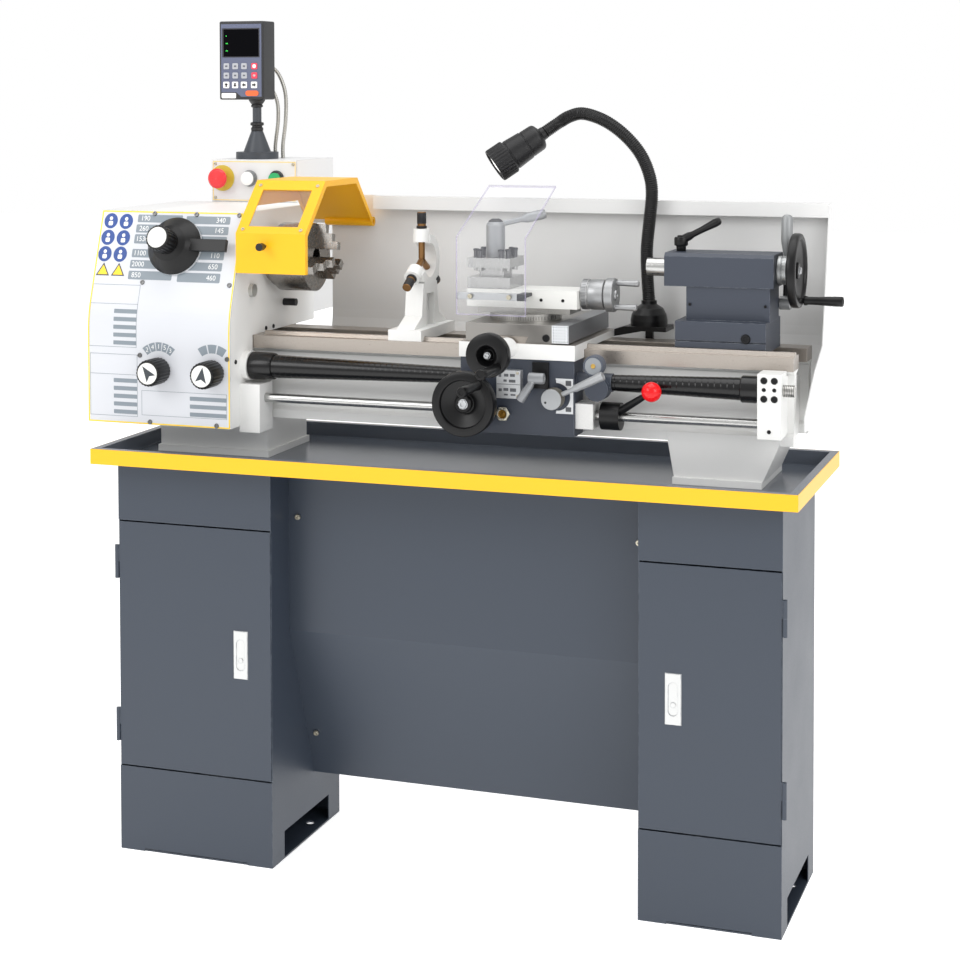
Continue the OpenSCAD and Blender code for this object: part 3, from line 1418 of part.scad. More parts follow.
// Steady on the ways, its ring open to the upper front
module steady_frame() {
  x0 = steady_x - steady_t / 2;
  x1 = steady_x + steady_t / 2;
  color(white)
    difference() {
      union() {
        box(steady_x - steady_foot_l / 2, steady_x + steady_foot_l / 2, bed_front + foot_inset,
          bed_back - foot_inset, way_z, way_z + steady_foot_h);
        prism_x(x0, x1, [
          [axis_y - 2 * steady_waist[0], way_z + steady_foot_h - overrun], [axis_y - steady_waist[0], way_z + 2 * steady_foot_h],
          [axis_y - steady_waist[1], steady_waist_z], [axis_y + steady_waist[1], steady_waist_z],
          [axis_y + steady_waist[0], way_z + 2 * steady_foot_h], [axis_y + 2 * steady_waist[0], way_z + steady_foot_h - overrun]
        ]);
        difference() {
          bar_x(x0, x1, axis_y, axis_z, steady_r);
          prism_x(x0 - overrun, x1 + overrun, [[axis_y, axis_z], [axis_y, axis_z + 2 * steady_r],
            [axis_y - 2 * steady_r, axis_z + 2 * steady_r],
            [axis_y - 2 * steady_r, axis_z + 2 * steady_r * sin(finger_angles[1])],
            [axis_y + 2 * steady_r * cos(finger_angles[1]), axis_z + 2 * steady_r * sin(finger_angles[1])]]);
        }
        for (a = finger_angles) {
          strut([steady_x, axis_y + finger_boss[0] * cos(a), axis_z + finger_boss[0] * sin(a)],
            [0, cos(a), sin(a)] * (finger_boss[1] - finger_boss[0]), finger_boss_r, finger_boss_r);
        }
      }
      vee_groove(steady_x - steady_foot_l, steady_x + steady_foot_l);
      bar_x(x0 - overrun, x1 + overrun, axis_y, axis_z, steady_bore_r);
      box(x1 - steady_pocket[1], x1 + overrun, axis_y - steady_pocket[0] / 2, axis_y + steady_pocket[0] / 2,
        way_z + steady_foot_h, way_z + steady_foot_h + steady_pocket[2]);
      for (a = finger_angles) {
        strut([steady_x, axis_y, axis_z], [0, cos(a), sin(a)] * (finger_boss[1] + overrun), finger_r + run_fit, finger_r + run_fit);
      }
    }
}
module steady_fingers() {
  color(bronze)
    for (a = finger_angles) {
      along = [0, cos(a), sin(a)];
      strut([steady_x, axis_y, axis_z] + along * finger_tip, along * finger_l, finger_r, finger_r);
      strut([steady_x, axis_y, axis_z] + along * (finger_tip + finger_l), along * finger_knob_l, finger_knob_r, finger_knob_r);
    }
}

// Tailstock casting, its base and body parted by a narrow joint
module tailstock() {
  c = tail_chamfer;
  y = tail_block;
  color(dark_slate)
    difference() {
      union() {
        box(tail_base_x[0], tail_base_x[1], tail_base_y[0], tail_base_y[1], way_z, way_z + tail_base_h);
        box(tail_neck_x[0], tail_neck_x[1], tail_neck_y[0], tail_neck_y[1], way_z + tail_base_h - overrun, tail_block_z0 + overrun);
        prism_x(tail_x0, tail_x1, [
          [y[0], tail_block_z0], [y[0], tail_block_z1 - c], [y[0] + c, tail_block_z1],
          [y[1] - c, tail_block_z1], [y[1], tail_block_z1 - c], [y[1], tail_block_z0]
        ]);
      }
      vee_groove(tail_base_x[0], tail_base_x[1]);
      for (s = [0, 1]) {
        box(tail_base_x[0] - overrun, tail_base_x[1] + overrun, tail_base_y[s] - c / 2, tail_base_y[s] + c / 2,
          way_z + tail_split[0], way_z + tail_split[0] + tail_split[1]);
      }
      bar_x(tail_x0 - overrun, tail_x0 + tail_bore_l, axis_y, axis_z, quill_r + run_fit);
      bar_x(tail_x0, tail_x1 + overrun, axis_y, axis_z, tail_shaft_r + run_fit);
      bar_z(lock_x, axis_y, tail_block_z1 - quill_r / 2, tail_block_z1 + overrun, lock_shaft_r + run_fit);
      bar_x(tail_neck_x[1] - stub_l, tail_x1 + overrun, clamp_pivot[0], clamp_pivot[1], lever_shaft_r + run_fit);
    }
}
module quill() {
  color(steel)
    difference() {
      bar_x(tail_x0 - quill_out, tail_x0 - quill_out + quill_l, axis_y, axis_z, quill_r);
      facing_right(tail_x0 - quill_out, axis_y, axis_z) cylinder(r1 = taper_rs[0], r2 = taper_rs[1], h = taper_l);
      bar_x(tail_x0 - quill_out + quill_l / 2, tail_x0 - quill_out + quill_l + overrun, axis_y, axis_z, tail_shaft_r + slide_gap);
    }
}
module quill_lock_lever() {
  z0 = tail_block_z1 + face_gap;
  color(black) {
    bar_z(lock_x, axis_y, z0, z0 + lock_hub[1], lock_hub[0]);
    bar_z(lock_x, axis_y, tail_block_z1 - quill_r / 2 + overrun, z0 + lock_hub[1] / 2, lock_shaft_r);
    lever_arm([lock_x, axis_y, z0 + lock_hub[1] / 2], lock_arm, lever_rod_r, lever_grip_r);
  }
}
module tailstock_handwheel() {
  x = tail_x1 + face_gap;
  color(black) {
    bar_x(x, x + tail_dial[1], axis_y, axis_z, tail_dial[0]);
    facing_right(tail_x1 + tail_wheel_gap, axis_y, axis_z) {
      wheel(tail_wheel_r, tail_wheel_w, tail_shaft_r, tail_wheel_gap + 3 * stub_l);
      rotate([0, 0, grip_turns[2]])
        translate([tail_wheel_r - tail_wheel_w / 2, 0, tail_wheel_w / 2])
          cylinder(r1 = tail_grip[0] - sheet, r2 = tail_grip[0], h = tail_grip[1]);
    }
  }
}
module tailstock_clamp_lever() {
  x = tail_neck_x[1] + face_gap;
  along = [0, sin(clamp_lean), cos(clamp_lean)];
  from = [x + clamp_hub[1] / 2, clamp_pivot[0], clamp_pivot[1]];
  color(silver) {
    bar_x(x, x + clamp_hub[1], clamp_pivot[0], clamp_pivot[1], clamp_hub[0]);
    bar_x(tail_neck_x[1] - stub_l + overrun, x + overrun, clamp_pivot[0], clamp_pivot[1], lever_shaft_r);
    lever_arm(from, along * clamp_arm_h, lever_rod_r, clamp_grip_r);
  }
}

// Screws that show on the stand, the panel and the end bracket
module fixing_screws() {
  slope = (panel_foot_y - panel_upper_y) / (panel_fold_z - panel_foot_z);
  color(steel) {
    for (x = [left_x1 + stand_screw_inset, right_x0 - stand_screw_inset]) {
      bar_y(x, panel_upper_y - stand_screw_h, panel_upper_y, stand_screw_zs[0], stand_screw_r);
      translate([x, panel_upper_y + (panel_fold_z - stand_screw_zs[1]) * slope, stand_screw_zs[1]])
        rotate([90 + atan(slope), 0, 0]) cylinder(r = stand_screw_r, h = stand_screw_h);
    }
    for (s = panel_low_screws) {
      bar_y(s[0], panel_y - panel_screw_h, panel_y, panel_z0 + s[1] + panel_screw_r, panel_screw_r);
    }
    for (s = panel_high_screws) {
      z = panel_z0 + s[1] - panel_screw_r;
      translate([s[0], slope_y(z), z]) rotate([90 - lean, 0, 0]) cylinder(r = panel_screw_r, h = panel_screw_h);
    }
    for (s = bracket_big_shares) {
      bracket_screw(s, bracket_screw_rs[0]);
    }
    for (s = bracket_small_shares) {
      bracket_screw(s, bracket_screw_rs[1]);
    }
  }
}
module bracket_screw(share, r) {
  bar_y(bracket_x0 + share[0] * bracket_l, bracket_y[0] - bracket_screw_h, bracket_y[0],
    bracket_z[0] + share[1] * (bracket_z[1] - bracket_z[0]), r);
}

left_cabinet();
right_cabinet();
left_door();
right_door();
door_hinges();
stand_panel();
chip_tray();
bed();
backsplash();
leadscrew();
control_rod();
end_bracket();
fixing_screws();
left_screw_cover();
right_screw_cover();
headstock();
front_panel();
end_cover();
drive_motor();
spindle();
chuck_body();
chuck_jaw_1();
chuck_jaw_2();
chuck_jaw_3();
speed_selector();
range_knob();
feed_knob_left();
feed_knob_right();
chuck_guard();
guard_window();
control_box();
emergency_button();
start_button();
readout_stand();
readout_display();
readout_cables();
saddle();
apron();
carriage_handwheel();
feed_lever();
halfnut_lever();
start_lever();
cross_slide();
cross_handwheel();
scale_housing();
swivel_base();
top_slide();
top_slide_crank();
tool_post();
tool_post_lever();
chip_shield();
lamp_gooseneck();
lamp_head();
steady_frame();
steady_fingers();
tailstock();
quill();
quill_lock_lever();
tailstock_handwheel();
tailstock_clamp_lever();
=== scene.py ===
import math
import bmesh
import bpy
from mathutils import Matrix, Vector


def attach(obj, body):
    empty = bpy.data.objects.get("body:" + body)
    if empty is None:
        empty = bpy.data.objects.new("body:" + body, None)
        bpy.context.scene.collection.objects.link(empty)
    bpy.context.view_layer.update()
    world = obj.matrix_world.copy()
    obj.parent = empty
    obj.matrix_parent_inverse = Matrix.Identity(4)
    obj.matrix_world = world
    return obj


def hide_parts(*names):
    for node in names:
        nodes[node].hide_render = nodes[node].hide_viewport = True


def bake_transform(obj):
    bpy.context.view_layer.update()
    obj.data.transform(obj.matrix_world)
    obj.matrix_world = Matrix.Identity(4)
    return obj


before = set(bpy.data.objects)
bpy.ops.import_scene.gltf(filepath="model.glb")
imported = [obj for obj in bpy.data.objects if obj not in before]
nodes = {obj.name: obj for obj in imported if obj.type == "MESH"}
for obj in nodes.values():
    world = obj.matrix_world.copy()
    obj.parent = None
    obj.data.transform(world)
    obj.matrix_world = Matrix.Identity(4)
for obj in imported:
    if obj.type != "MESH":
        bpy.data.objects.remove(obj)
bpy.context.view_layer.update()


# Studio: a white sweep under the lathe, three large soft lamps and a bright surround.
# The camera stands to the right of the middle, above the headstock, with a shifted lens.
def screen(red, green, blue):
    """A colour as a screen shows it, 0 to 255, in the numbers that a shader takes."""
    parts = [c / 255 for c in (red, green, blue)]
    return tuple(p / 12.92 if p < 0.04 else ((p + 0.055) / 1.055) ** 2.4 for p in parts) + (1.0,)


turn, tilt, roll = math.radians(19.30), math.radians(2.21), math.radians(-0.115)
back = Vector((math.sin(turn) * math.cos(tilt), -math.cos(turn) * math.cos(tilt), math.sin(tilt)))
level = Vector((0, 0, 1)).cross(back).normalized()
rise = back.cross(level)
across = level * math.cos(roll) + rise * math.sin(roll)
upright = rise * math.cos(roll) - level * math.sin(roll)
lens = bpy.data.cameras.new("camera")
lens.sensor_fit = "HORIZONTAL"
lens.sensor_width = 36
lens.lens = 74.83
lens.shift_y = -0.329
camera = bpy.data.objects.new("camera", lens)
bpy.context.scene.collection.objects.link(camera)
camera_at = (1.2230, -3.3956, 1.4165)
camera.matrix_world = Matrix.Translation(camera_at) @ Matrix((across, upright, back)).transposed().to_4x4()
bpy.context.scene.camera = camera
bpy.context.scene.view_settings.view_transform = "Standard"

white = (1.0, 1.0, 1.0, 1.0)
surround = bpy.data.worlds.new("studio")
surround.use_nodes = True
sky = surround.node_tree
dimmed = sky.nodes["Background"]
dimmed.inputs["Color"].default_value = white
dimmed.inputs["Strength"].default_value = 0.74
plain = sky.nodes.new("ShaderNodeBackground")
plain.inputs["Color"].default_value = white
seen = sky.nodes.new("ShaderNodeLightPath")
either = sky.nodes.new("ShaderNodeMixShader")
sky.links.new(seen.outputs["Is Camera Ray"], either.inputs[0])
sky.links.new(dimmed.outputs[0], either.inputs[1])
sky.links.new(plain.outputs[0], either.inputs[2])
sky.links.new(either.outputs[0], sky.nodes["World Output"].inputs[0])
bpy.context.scene.world = surround
for lamp_name, spot, aim, size, power in (
    ("key", (-2.4, -3.4, 3.3), (-0.1, 0, 0.9), 2.2, 66),
    ("side", (3.4, -1.9, 2.4), (0.2, 0, 0.8), 2.0, 40),
    ("top", (0.2, -0.2, 3.6), (0, 0, 0.8), 2.6, 44),
):
    panel_light = bpy.data.lights.new(lamp_name, "AREA")
    panel_light.size = size
    panel_light.energy = power
    holder = bpy.data.objects.new(lamp_name, panel_light)
    bpy.context.scene.collection.objects.link(holder)
    holder.location = spot
    holder.rotation_euler = (Vector(aim) - Vector(spot)).to_track_quat("-Z", "Y").to_euler()


class Reading:
    """A socket of a finish's node tree that takes part in plain sums."""

    def __init__(self, finish, socket):
        self.finish, self.socket = finish, socket

    def sum(self, operation, *values):
        return self.finish.node("ShaderNodeMath", {"operation": operation}, dict(enumerate(values)))

    def __add__(self, other):
        return self.sum("ADD", self, other)

    def __sub__(self, other):
        return self.sum("SUBTRACT", self, other)

    def __rsub__(self, other):
        return self.sum("SUBTRACT", other, self)

    def __mul__(self, other):
        return self.sum("MULTIPLY", self, other)

    def __truediv__(self, other):
        return self.sum("DIVIDE", self, other)

    def __gt__(self, other):
        return self.sum("GREATER_THAN", self, other)

    def __lt__(self, other):
        return self.sum("LESS_THAN", self, other)

    def __abs__(self):
        return self.sum("ABSOLUTE", self)

    __radd__, __rmul__ = __add__, __mul__

    def least(self, other):
        return self.sum("MINIMUM", self, other)

    def most(self, other):
        return self.sum("MAXIMUM", self, other)

    def cycle(self, length):
        return self.sum("FLOORED_MODULO", self, length) / length

    def ease(self, low, high):
        values = {"Value": self, "From Min": low, "From Max": high}
        return self.finish.node("ShaderNodeMapRange", {"interpolation_type": "SMOOTHSTEP"}, values)


class Finish:
    """One material: a node tree on the piece's own coordinates, in metres."""

    def __init__(self, name):
        self.material = bpy.data.materials.new(name)
        self.material.use_nodes = True
        self.tree = self.material.node_tree
        self.tree.nodes.clear()
        output = self.tree.nodes.new("ShaderNodeOutputMaterial")
        self.shader = self.tree.nodes.new("ShaderNodeBsdfPrincipled")
        self.tree.links.new(self.shader.outputs[0], output.inputs[0])
        self.place = self.node("ShaderNodeTexCoord", out="Object")
        split = self.node("ShaderNodeSeparateXYZ", sockets={0: self.place}).socket.node
        self.x, self.y, self.z = (Reading(self, axis) for axis in split.outputs)

    def node(self, kind, settings=None, sockets=None, out=0):
        made = self.tree.nodes.new(kind)
        for key, value in (settings or {}).items():
            setattr(made, key, value)
        for key, value in (sockets or {}).items():
            self.feed(made.inputs[key], value)
        return Reading(self, made.outputs[out])

    def feed(self, socket, value):
        if isinstance(value, Reading):
            self.tree.links.new(value.socket, socket)
        else:
            socket.default_value = value

    def vector(self, operation, first, second, out=0):
        return self.node("ShaderNodeVectorMath", {"operation": operation}, {0: first, 1: second}, out)

    def noise(self, size, stretch=(1, 1, 1), detail=3.0):
        where = self.vector("MULTIPLY", self.place, stretch)
        return self.node("ShaderNodeTexNoise", None, {"Vector": where, "Scale": 1 / size, "Detail": detail})

    def mix(self, share, first, second):
        return self.node("ShaderNodeMix", {"data_type": "RGBA"}, {0: share, 6: first, 7: second}, 2)

    def along(self, start, axis):
        """How far a point is along an axis that begins at start."""
        step = self.vector("SUBTRACT", self.place, start)
        return self.vector("DOT_PRODUCT", step, tuple(Vector(axis).normalized()), "Value")

    def off(self, start, axis):
        """How far a point is from that axis."""
        step = self.vector("SUBTRACT", self.place, start)
        return self.vector("LENGTH", self.vector("CROSS_PRODUCT", step, tuple(Vector(axis).normalized())),
                           (0, 0, 0), "Value")


def tinted(colour, share):
    return tuple(min(1.0, c * share) for c in colour[:3]) + (1.0,)


def coat(name, colour, rough, metal=0.0, vary=0.05, grain=0.0012, bump=0.08, edge=0.0012,
         wear=None, streak=(1, 1, 1), areas=(), gloss=0.0, shine=0.5):
    """A finish with clouding, fine grain, softened edges, wear at the edges and areas of another finish."""
    f = Finish(name)
    cloud = f.noise(0.11, detail=4.0)
    fine = f.noise(grain, streak)
    base = f.mix(cloud, tinted(colour, 1 - vary), tinted(colour, 1 + vary))
    roughness = rough + (fine - 0.5) * 0.14 + (cloud - 0.5) * 0.1
    metallic = metal
    for where, tint, area_rough, area_metal in areas:
        mask = where(f)
        base = f.mix(mask, base, f.mix(fine, tinted(tint, 0.93), tinted(tint, 1.05)))
        roughness = roughness * (1 - mask) + mask * (area_rough + (fine - 0.5) * 0.14)
        metallic = (1 - mask) * metallic + mask * area_metal
    soft = f.node("ShaderNodeBevel", {"samples": 4}, {"Radius": edge})
    if wear:
        facing = f.node("ShaderNodeNewGeometry", out="Normal")
        corner = 1 - f.vector("DOT_PRODUCT", soft, facing, "Value")
        worn = (corner * 5).least(1) * f.noise(0.012).ease(0.36, 0.62)
        base = f.mix(worn, base, wear)
    f.feed(f.shader.inputs["Base Color"], base)
    f.feed(f.shader.inputs["Roughness"], roughness.most(0.05).least(0.95))
    f.feed(f.shader.inputs["Metallic"], metallic)
    f.shader.inputs["Coat Weight"].default_value = gloss
    f.shader.inputs["Specular IOR Level"].default_value = shine
    f.shader.inputs["Coat Roughness"].default_value = 0.12
    height = {"Strength": bump, "Distance": grain * 0.4, "Height": fine, "Normal": soft}
    f.feed(f.shader.inputs["Normal"], f.node("ShaderNodeBump", None, height))
    return f.material


def dress(finish, *names):
    for name in names:
        nodes[name].data.materials.clear()
        nodes[name].data.materials.append(finish)


def glow(finish, colour, strength):
    """Lets a finish shine by itself."""
    shader = finish.node_tree.nodes["Principled BSDF"]
    shader.inputs["Emission Color"].default_value = colour
    shader.inputs["Emission Strength"].default_value = strength


floor_mesh = bpy.data.meshes.new("floor")
floor_mesh.from_pydata([(-14, -12, 0), (14, -12, 0), (14, 16, 0), (-14, 16, 0)], [], [(0, 1, 2, 3)])
floor = bpy.data.objects.new("floor", floor_mesh)
bpy.context.scene.collection.objects.link(floor)
floor_paint = coat("pale_floor", screen(250, 250, 250), 0.7, vary=0.01, grain=0.02, bump=0.02)
glow(floor_paint, white, 0.62)
floor_mesh.materials.append(floor_paint)


# Readout cables: two steel-armoured leads that leave the back of the display, hang free and go into the box.
# The armour is wound strip, so the leads are ribbed.
def smooth_route(marks, step):
    """A smooth line through the marks, in even steps."""
    marks = [Vector(mark) for mark in marks]
    fine = []
    for k in range(len(marks) - 1):
        p, q, s, t = marks[max(k - 1, 0)], marks[k], marks[k + 1], marks[min(k + 2, len(marks) - 1)]
        for u in [i / 60 for i in range(60)]:
            fine.append((2 * q + (s - p) * u + (2 * p - 5 * q + 4 * s - t) * u ** 2
                         + (3 * q - p - 3 * s + t) * u ** 3) / 2)
    fine.append(marks[-1])
    line, spare = [fine[0]], 0.0
    for first, second in zip(fine, fine[1:]):
        spare += (second - first).length
        if spare >= step:
            line.append(second)
            spare = 0.0
    if spare > 0:
        line.append(fine[-1])
    return line


def piece(name, mesh_data, finish, body, stands_for=()):
    """A finished mesh as a piece of the part: its finish and its body."""
    mesh = bpy.data.meshes.new(name)
    mesh_data.to_mesh(mesh)
    mesh_data.free()
    made = bpy.data.objects.new(name, mesh)
    bpy.context.scene.collection.objects.link(made)
    mesh.materials.append(finish)
    for face in mesh.polygons:
        face.use_smooth = True
    mesh.set_sharp_from_angle(angle=math.radians(32))
    if body:
        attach(made, body)
    if stands_for:
        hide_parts(*stands_for)
    return made


def armoured(name, line, radius, finish):
    """A ribbed tube along a line."""
    solid, rings, side = bmesh.new(), [], Vector((1, 0, 0))
    for i, spot in enumerate(line):
        ahead = (line[min(i + 1, len(line) - 1)] - line[max(i - 1, 0)]).normalized()
        side = (side - ahead * side.dot(ahead)).normalized()
        up, reach = ahead.cross(side), radius * (1.0 if i % 3 else 0.86)
        rings.append([solid.verts.new(spot + reach * (side * math.cos(a) + up * math.sin(a)))
                      for a in [math.pi * j / 10 for j in range(20)]])
    for first, second in zip(rings, rings[1:]):
        for j in range(20):
            solid.faces.new((first[j], first[(j + 1) % 20], second[(j + 1) % 20], second[j]))
    solid.faces.new(rings[0])
    solid.faces.new(list(reversed(rings[-1])))
    bmesh.ops.recalc_face_normals(solid, faces=solid.faces)
    return piece(name, solid, finish, None, ["readout_cables"])


armour = coat("cable_armour", screen(176, 174, 168), 0.34, metal=0.9, vary=0.08, grain=0.0007)
readout_at = Vector((-546, 285, 1272))
for lead, marks in (
    ("left", [(-14, 32.7, 168), (-14, 46, 168), (-2, 59, 152), (18, 56, 118), (24, 49, 78), (20, 44, 28),
              (20, 44, 0.3)]),
    ("right", [(6, 32.7, 190), (6, 46, 190), (20, 61, 172), (36, 59, 132), (40, 51, 78), (36, 46, 28),
               (36, 46, 0.3)]),
):
    route = smooth_route([(readout_at + Vector(mark)) / 1000 for mark in marks], 0.0012)
    cable = armoured("readout_cable_" + lead, route, 0.004, armour)
    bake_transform(cable)
    run = sum((second - first).length for first, second in zip(route, route[1:]))


# Stand: two folded sheet cabinets with lift-off doors and a sloping sheet between them, powder coated slate.
# The doors have a flush latch in a die-cast plate; the hinges are turned barrels welded to the sheet.
slate = screen(52, 60, 72)
slate_pale = screen(108, 117, 128)
stand_slate = coat("stand_slate", slate, 0.42, vary=0.04, grain=0.0016, bump=0.14, wear=slate_pale)
nickel = screen(205, 206, 205)
latch_areas = [(lambda f: (f.y < -0.1525) * (abs(f.z - 0.386) < 0.0440)
                * (abs(f.x + 0.375) < 0.0142).most(abs(f.x - 0.430) < 0.0142), nickel, 0.34, 0.75)]
door_slate = coat("door_slate", slate, 0.40, vary=0.04, grain=0.0016, bump=0.14, wear=slate_pale,
                  areas=latch_areas)
dress(stand_slate, "left_cabinet", "right_cabinet", "stand_panel", "door_hinges")
dress(door_slate, "left_door", "right_door")


to_front, to_right, upwards = (0, -1, 0), (1, 0, 0), (0, 0, 1)


def towards(place, axis):
    """The frame of a turned piece whose own Z points along axis, with its foot at place."""
    return Matrix.Translation(place) @ Vector(axis).to_track_quat("Z", "Y").to_matrix().to_4x4()


def grown(name, tree, spots, values, finish, body, stands_for=()):
    """What a tree of Geometry Nodes makes at the spots, each a place and a direction, as one plain mesh."""
    marks = bpy.data.meshes.new(name + "_places")
    marks.from_pydata([tuple(place) for place, way in spots], [], [])
    facing = marks.attributes.new("facing", "FLOAT_VECTOR", "POINT")
    facing.data.foreach_set("vector", [c for place, way in spots for c in way])
    carrier = bpy.data.objects.new(name + "_places", marks)
    bpy.context.scene.collection.objects.link(carrier)
    made = carrier.modifiers.new(name, "NODES")
    made.node_group = tree
    for socket, value in values.items():
        made[socket] = value
    settled = carrier.evaluated_get(bpy.context.evaluated_depsgraph_get())
    solid = bmesh.new()
    solid.from_mesh(bpy.data.meshes.new_from_object(settled))
    bpy.data.objects.remove(carrier)
    return piece(name, solid, finish, body, stands_for)


def placed_tree(name, inputs, finish):
    """A tree of Geometry Nodes with named inputs that sets one shape on every place."""
    tree = bpy.data.node_groups.new(name, "GeometryNodeTree")
    tree.interface.new_socket(name="Geometry", in_out="INPUT", socket_type="NodeSocketGeometry")
    sockets = {}
    for label, kind in inputs.items():
        asked = tree.interface.new_socket(name=label, in_out="INPUT", socket_type="NodeSocket" + kind)
        sockets[label] = asked.identifier
    tree.interface.new_socket(name="Geometry", in_out="OUTPUT", socket_type="NodeSocketGeometry")
    given, result = tree.nodes.new("NodeGroupInput"), tree.nodes.new("NodeGroupOutput")
    direction = tree.nodes.new("GeometryNodeInputNamedAttribute")
    direction.data_type = "FLOAT_VECTOR"
    direction.inputs["Name"].default_value = "facing"
    aim = tree.nodes.new("FunctionNodeAlignRotationToVector")
    aim.axis = "Z"
    spread = tree.nodes.new("GeometryNodeInstanceOnPoints")
    real = tree.nodes.new("GeometryNodeRealizeInstances")
    dressed = tree.nodes.new("GeometryNodeSetMaterial")
    dressed.inputs["Material"].default_value = finish
    for start, end in (
        (given.outputs["Geometry"], spread.inputs["Points"]),
        (direction.outputs[0], aim.inputs["Vector"]),
        (aim.outputs[0], spread.inputs["Rotation"]),
        (spread.outputs[0], real.inputs[0]),
        (real.outputs[0], dressed.inputs["Geometry"]),
        (dressed.outputs[0], result.inputs[0]),
    ):
        tree.links.new(start, end)
    return tree, sockets, given, spread.inputs["Instance"]


def heads(name, spots, finish, body, radius, height, recess_sides, recess_share, stands_for=()):
    """Screw heads at the spots, each a place and a direction: low cones with a recess for the tool."""
    inputs = {"Head Radius": "Float", "Head Height": "Float", "Recess Radius": "Float",
              "Recess Sides": "Int"}
    tree, sockets, given, instance = placed_tree(name, inputs, finish)
    head = tree.nodes.new("GeometryNodeMeshCone")
    head.inputs["Vertices"].default_value = 28
    top = tree.nodes.new("ShaderNodeMath")
    top.operation = "MULTIPLY"
    top.inputs[1].default_value = 0.86
    tool = tree.nodes.new("GeometryNodeMeshCylinder")
    sink = tree.nodes.new("GeometryNodeTransform")
    lift = tree.nodes.new("ShaderNodeCombineXYZ")
    cut = tree.nodes.new("GeometryNodeMeshBoolean")
    cut.operation = "DIFFERENCE"
    for start, end in (
        (given.outputs["Head Radius"], head.inputs["Radius Bottom"]),
        (given.outputs["Head Radius"], top.inputs[0]),
        (top.outputs[0], head.inputs["Radius Top"]),
        (given.outputs["Head Height"], head.inputs["Depth"]),
        (given.outputs["Recess Radius"], tool.inputs["Radius"]),
        (given.outputs["Recess Sides"], tool.inputs["Vertices"]),
        (given.outputs["Head Height"], tool.inputs["Depth"]),
        (given.outputs["Head Height"], lift.inputs["Z"]),
        (lift.outputs[0], sink.inputs["Translation"]),
        (tool.outputs["Mesh"], sink.inputs["Geometry"]),
        (head.outputs["Mesh"], cut.inputs["Mesh 1"]),
        (sink.outputs[0], cut.inputs["Mesh 2"]),
        (cut.outputs[0], instance),
    ):
        tree.links.new(start, end)
    values = {sockets["Head Radius"]: radius, sockets["Head Height"]: height,
              sockets["Recess Radius"]: radius * recess_share, sockets["Recess Sides"]: recess_sides}
    return grown(name, tree, spots, values, finish, body, stands_for)


zinc = coat("zinc_screws", screen(196, 190, 172), 0.34, metal=0.9, grain=0.0006)
panel_face = Vector((0, -0.300, -0.109)).normalized()
stand_spots = [((x, -0.0765, 0.629), to_front) for x in (-0.295, 0.350)]
stand_spots += [((x, 0.0010, 0.2044), tuple(panel_face)) for x in (-0.295, 0.350)]
heads("stand_screws", stand_spots, zinc, "frame", 0.0055, 0.0034, 4, 0.42, ["fixing_screws"])


# Chip tray: one folded sheet tray over both cabinets, slate inside with a yellow powder-coated rim.
# Only the outer faces of the rim carry the yellow; its top and the inside are slate.
yellow = screen(246, 184, 6)
rim = [(lambda f: (abs(f.x) > 0.6492).most(abs(f.y) > 0.2072), yellow, 0.36, 0.0)]
dress(coat("tray_paint", screen(92, 98, 108), 0.22, vary=0.05, grain=0.0016, bump=0.12, areas=rim),
      "chip_tray")


# Bed: a ribbed iron casting, filled and sprayed warm white, its ways and front edge surface ground.
# The grinding leaves fine marks along the bed and the oiled steel looks slightly brown.
casting = screen(229, 229, 227)
steel = screen(176, 168, 160)


def cast_white(name, areas=()):
    return coat(name, casting, 0.40, vary=0.02, grain=0.0022, bump=0.16, areas=areas)


ways = [(lambda f: f.z > 0.9342, steel, 0.30, 0.85)]
dress(cast_white("bed_casting", ways), "bed")


# Splash sheet: bent white steel sheet behind the bed, with a returned lip and an end wing.
# It is folded in one piece and painted white on both sides.
def sheet_paint(name, colour, rough=0.36, areas=()):
    return coat(name, colour, rough, vary=0.015, grain=0.0016, bump=0.08, areas=areas)


white_sheet = sheet_paint("white_sheet", screen(224, 224, 223))
dress(white_sheet, "backsplash")


# Feed shafts: leadscrew and control rod of ground steel, carried by a cast bracket at the right end.
# Spring-steel spirals wound from black strip cover the screw on both sides of the apron.
ground = coat("ground_steel", screen(190, 190, 188), 0.27, metal=1.0, grain=0.0008, streak=(1, 0.1, 1))
dress(ground, "control_rod")
thread = [(lambda f: f.x.cycle(0.003) > 0.5, screen(120, 120, 118), 0.4, 1.0)]
dress(coat("screw_thread", screen(188, 186, 182), 0.3, metal=1.0, areas=thread), "leadscrew")
white_casting = cast_white("white_casting")
dress(white_casting, "end_bracket")
black_steel = coat("black_steel", screen(20, 20, 22), 0.40, metal=0.5, grain=0.0008, bump=0.1)


def bracket_spots(shares):
    """Places on the front of the end bracket, as shares of its width and height."""
    (left, front, low), width, height = (0.562, -0.1070, 0.826), 0.040, 0.110
    return [((left + width * side, front, low + height * up), to_front) for side, up in shares]


big_shares = ((0.28, 0.9), (0.72, 0.9), (0.28, 0.62), (0.72, 0.62))
small_shares = ((0.28, 0.76), (0.72, 0.76), (0.5, 0.12))
heads("bracket_screws", bracket_spots(big_shares), black_steel, "frame", 0.006, 0.0026, 6,
      0.5)
heads("bracket_set_screws", bracket_spots(small_shares), black_steel, "frame", 0.0035,
      0.0016, 6, 0.55)
screw_y, screw_z = -0.084, 0.906


